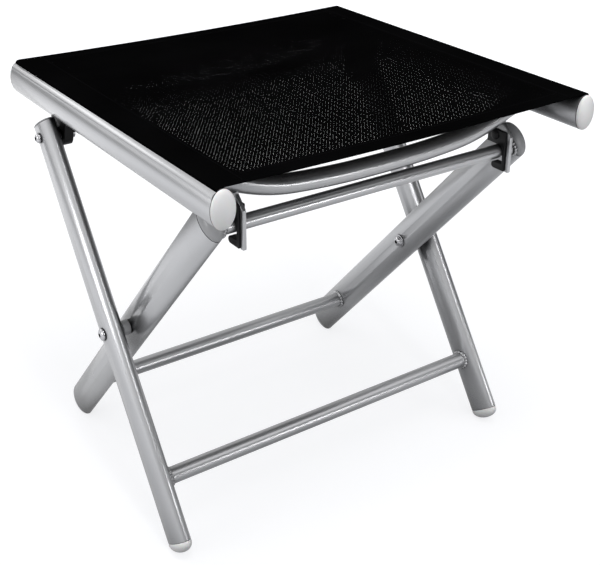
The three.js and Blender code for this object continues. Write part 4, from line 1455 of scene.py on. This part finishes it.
class FOOTSTOOL_OT_add_stage(bpy.types.Operator):
    """Adds the camera, the floor, the lamps and the world"""

    bl_idname = "footstool.add_stage"
    bl_label = "Stage"

    lens: number("Lens", "Focal length in millimetres", 66.857)
    yaw: rotation("Yaw", "Camera's turn from +Y towards +X", 34.954)
    pitch: rotation("Pitch", "Camera's look downwards", 25.935)
    roll: rotation("Roll", "Camera's roll", 0.412)
    shift: number("Shift", "Upward shift as a share of the width", -0.0708)
    near_glow: number("Near glow", "Lifts the floor near the stool to white for the camera", 0.78)
    far_glow: number("Far glow", "Lifts the floor far from the stool to white for the camera", 1.0)
    # A painted pool of light on the floor, seen only in reflections
    mirrored_glow: number("Mirrored glow", "Lifts the floor beside the stool in reflections", 0.52)

    def execute(self, context):
        self.add_camera(context)
        self.add_floor(context)
        self.add_lamps()
        self.set_world(context)
        context.scene.view_settings.view_transform = "Standard"
        return {"FINISHED"}

    def add_camera(self, context):
        activate()
        bpy.ops.object.camera_add(location=CAMERA_PLACE)
        camera = bpy.context.object
        camera.name = "camera"
        ahead = Vector((math.sin(self.yaw) * math.cos(self.pitch), math.cos(self.yaw) * math.cos(self.pitch),
                        -math.sin(self.pitch)))
        level = Vector((math.cos(self.yaw), -math.sin(self.yaw), 0))
        above = level.cross(ahead)
        right = math.cos(self.roll) * level + math.sin(self.roll) * above
        up = math.cos(self.roll) * above - math.sin(self.roll) * level
        camera.rotation_euler = Matrix((right, up, -ahead)).transposed().to_euler()
        camera.data.lens = self.lens
        camera.data.shift_y = self.shift
        camera.data.clip_end = 50
        context.scene.camera = camera

    def add_floor(self, context):
        floor = add_primitive("floor", bpy.ops.mesh.primitive_plane_add, size=FLOOR_SIDE)
        material, tree, shader = new_material("plain floor")
        tint = tuple(context.scene.footstool_colours.floor)
        clouds = object_noise(tree, 1.5, 2.0)
        fill(tree, shader, {"Base Color": blend_colour(tree, clouds, shade(tint, 0.985), tint),
                            "Roughness": 0.75, "Specular IOR Level": 0.2})
        lit = tree.nodes["Principled BSDF"].outputs[0]
        place = put(tree, "ShaderNodeTexCoord").outputs["Object"]
        from_stool = put(tree, "ShaderNodeVectorMath", {0: place}, operation="LENGTH").outputs["Value"]
        from_pool = put(tree, "ShaderNodeVectorMath", {0: place, 1: (-0.9, 0.5, 0.0)}, operation="DISTANCE")
        # Reflections see a painted pool of light on the floor on the left, and painted shadow under the seat,
        # where the pool's glow is cut
        pool = spread(tree, from_pool.outputs["Value"], 0.9, 3.0, self.mirrored_glow, 0.02)
        beside = times(tree, pool, spread(tree, from_stool, 0.1, 0.42, 0.12, 1.0))
        beside = times(tree, beside, spread(tree, from_stool, 0.6, 1.05, 1.0, 1.55))
        seen = spread(tree, from_stool, 0.5, 1.6, self.near_glow, self.far_glow)
        lifted = []
        for glow in (beside, seen):
            light = put(tree, "ShaderNodeEmission", {"Color": (0.98, 0.985, 1.0, 1), "Strength": glow})
            lifted.append(put(tree, "ShaderNodeAddShader", {0: lit, 1: light.outputs[0]}).outputs[0])
        mixed = white_for_looks(tree, lit, *lifted)
        fill(tree, tree.nodes["Material Output"].inputs, {"Surface": mixed})
        floor.data.materials.append(material)

    def add_lamps(self):
        # Each row: name, place, point it faces, width, height, power in watts
        rows = (("left softbox", (-1.95, 0.1, 0.6), (0, 0, 0.3), 0.6, 0.5, 6),
                ("back softbox", (-1.03, 2.0, 1.4), (0, 0, 0.4), 2.0, 0.9, 5.5),
                ("top softbox", (-0.2, -0.5, 2.3), (0, 0, 0.2), 0.8, 0.8, 16),
                ("overhead softbox", (0.9, -0.9, 1.7), (0, 0, 0.1), 1.3, 1.3, 4.5),
                ("front strip", (-0.4, -2.2, 1.6), (-0.2, 0, 0.3), 0.14, 1.3, 8.5),
                ("right strip", (0.9, -1.97, 0.29), (0, 0, 0.2), 0.6, 0.2, 3.6),
                ("right card", (0.42, -0.56, 0.16), (0, -0.05, 0.1), 0.5, 0.32, 0.15))
        for name, place, target, width, tall, power in rows:
            activate()
            bpy.ops.object.light_add(type="AREA", location=place)
            lamp = bpy.context.object
            lamp.name = name
            lamp.data.shape = "RECTANGLE"
            lamp.data.size, lamp.data.size_y = width, tall
            lamp.data.energy = power
            lamp.visible_camera = False
            lamp.rotation_euler = (Vector(target) - Vector(place)).to_track_quat("-Z", "Y").to_euler()

    def set_world(self, context):
        world = bpy.data.worlds.new("studio")
        context.scene.world = world
        world.use_nodes = True
        tree = world.node_tree
        tree.nodes.clear()
        # The room is bright on the left and above, and dim on the right
        way = put(tree, "ShaderNodeTexCoord").outputs["Generated"]
        towards = put(tree, "ShaderNodeVectorMath", {0: way, 1: (-0.8, 0.35, 0.4)}, operation="DOT_PRODUCT")
        room = blend_colour(tree, spread(tree, towards.outputs["Value"], -0.8, 0.9), (0.04, 0.042, 0.046, 1),
                            (1.0, 1.0, 1.0, 1))
        # Plain light, reflections, and what the camera sees
        lights = [put(tree, "ShaderNodeBackground", {"Color": tint, "Strength": strength}).outputs[0]
                  for tint, strength in ((room, 0.75), (room, 1.0), ((1, 1, 1, 1), 1.0))]
        put(tree, "ShaderNodeOutputWorld", {"Surface": white_for_looks(tree, *lights)})


BUILD_ORDER = (FOOTSTOOL_OT_add_stage, FOOTSTOOL_OT_make_finishes, FOOTSTOOL_OT_add_rails,
               FOOTSTOOL_OT_add_sling, FOOTSTOOL_OT_add_stitching, FOOTSTOOL_OT_add_rail_caps,
               FOOTSTOOL_OT_add_spreaders, FOOTSTOOL_OT_add_spreader_welds, FOOTSTOOL_OT_add_hinge_brackets,
               FOOTSTOOL_OT_add_latches, FOOTSTOOL_OT_add_legs, FOOTSTOOL_OT_add_crossbars,
               FOOTSTOOL_OT_add_leg_ends, FOOTSTOOL_OT_add_pivots, FOOTSTOOL_OT_add_hinges,
               FOOTSTOOL_OT_finish_rods)


class FOOTSTOOL_PT_sidebar(bpy.types.Panel):
    """Lists the footstool's parts in the sidebar"""

    bl_label = "Footstool"
    bl_idname = "FOOTSTOOL_PT_sidebar"
    bl_space_type = "VIEW_3D"
    bl_region_type = "UI"
    bl_category = "Footstool"

    def draw(self, context):
        for operator in BUILD_ORDER:
            self.layout.operator(operator.bl_idname)
        for group in (context.scene.footstool_sizes, context.scene.footstool_colours):
            box = self.layout.box()
            for name in group.bl_rna.properties.keys():
                if name not in ("rna_type", "name"):
                    box.prop(group, name)


CLASSES = (FootstoolSizes, FootstoolColours, *BUILD_ORDER, FOOTSTOOL_PT_sidebar)


def register():
    for each in CLASSES:
        bpy.utils.register_class(each)
    bpy.types.Scene.footstool_sizes = PointerProperty(type=FootstoolSizes)
    bpy.types.Scene.footstool_colours = PointerProperty(type=FootstoolColours)


def unregister():
    del bpy.types.Scene.footstool_colours
    del bpy.types.Scene.footstool_sizes
    for each in reversed(CLASSES):
        bpy.utils.unregister_class(each)


def main():
    register()
    for operator in BUILD_ORDER:
        group, name = operator.bl_idname.split(".")
        getattr(getattr(bpy.ops, group), name)()


if __name__ == "__main__":
    main()
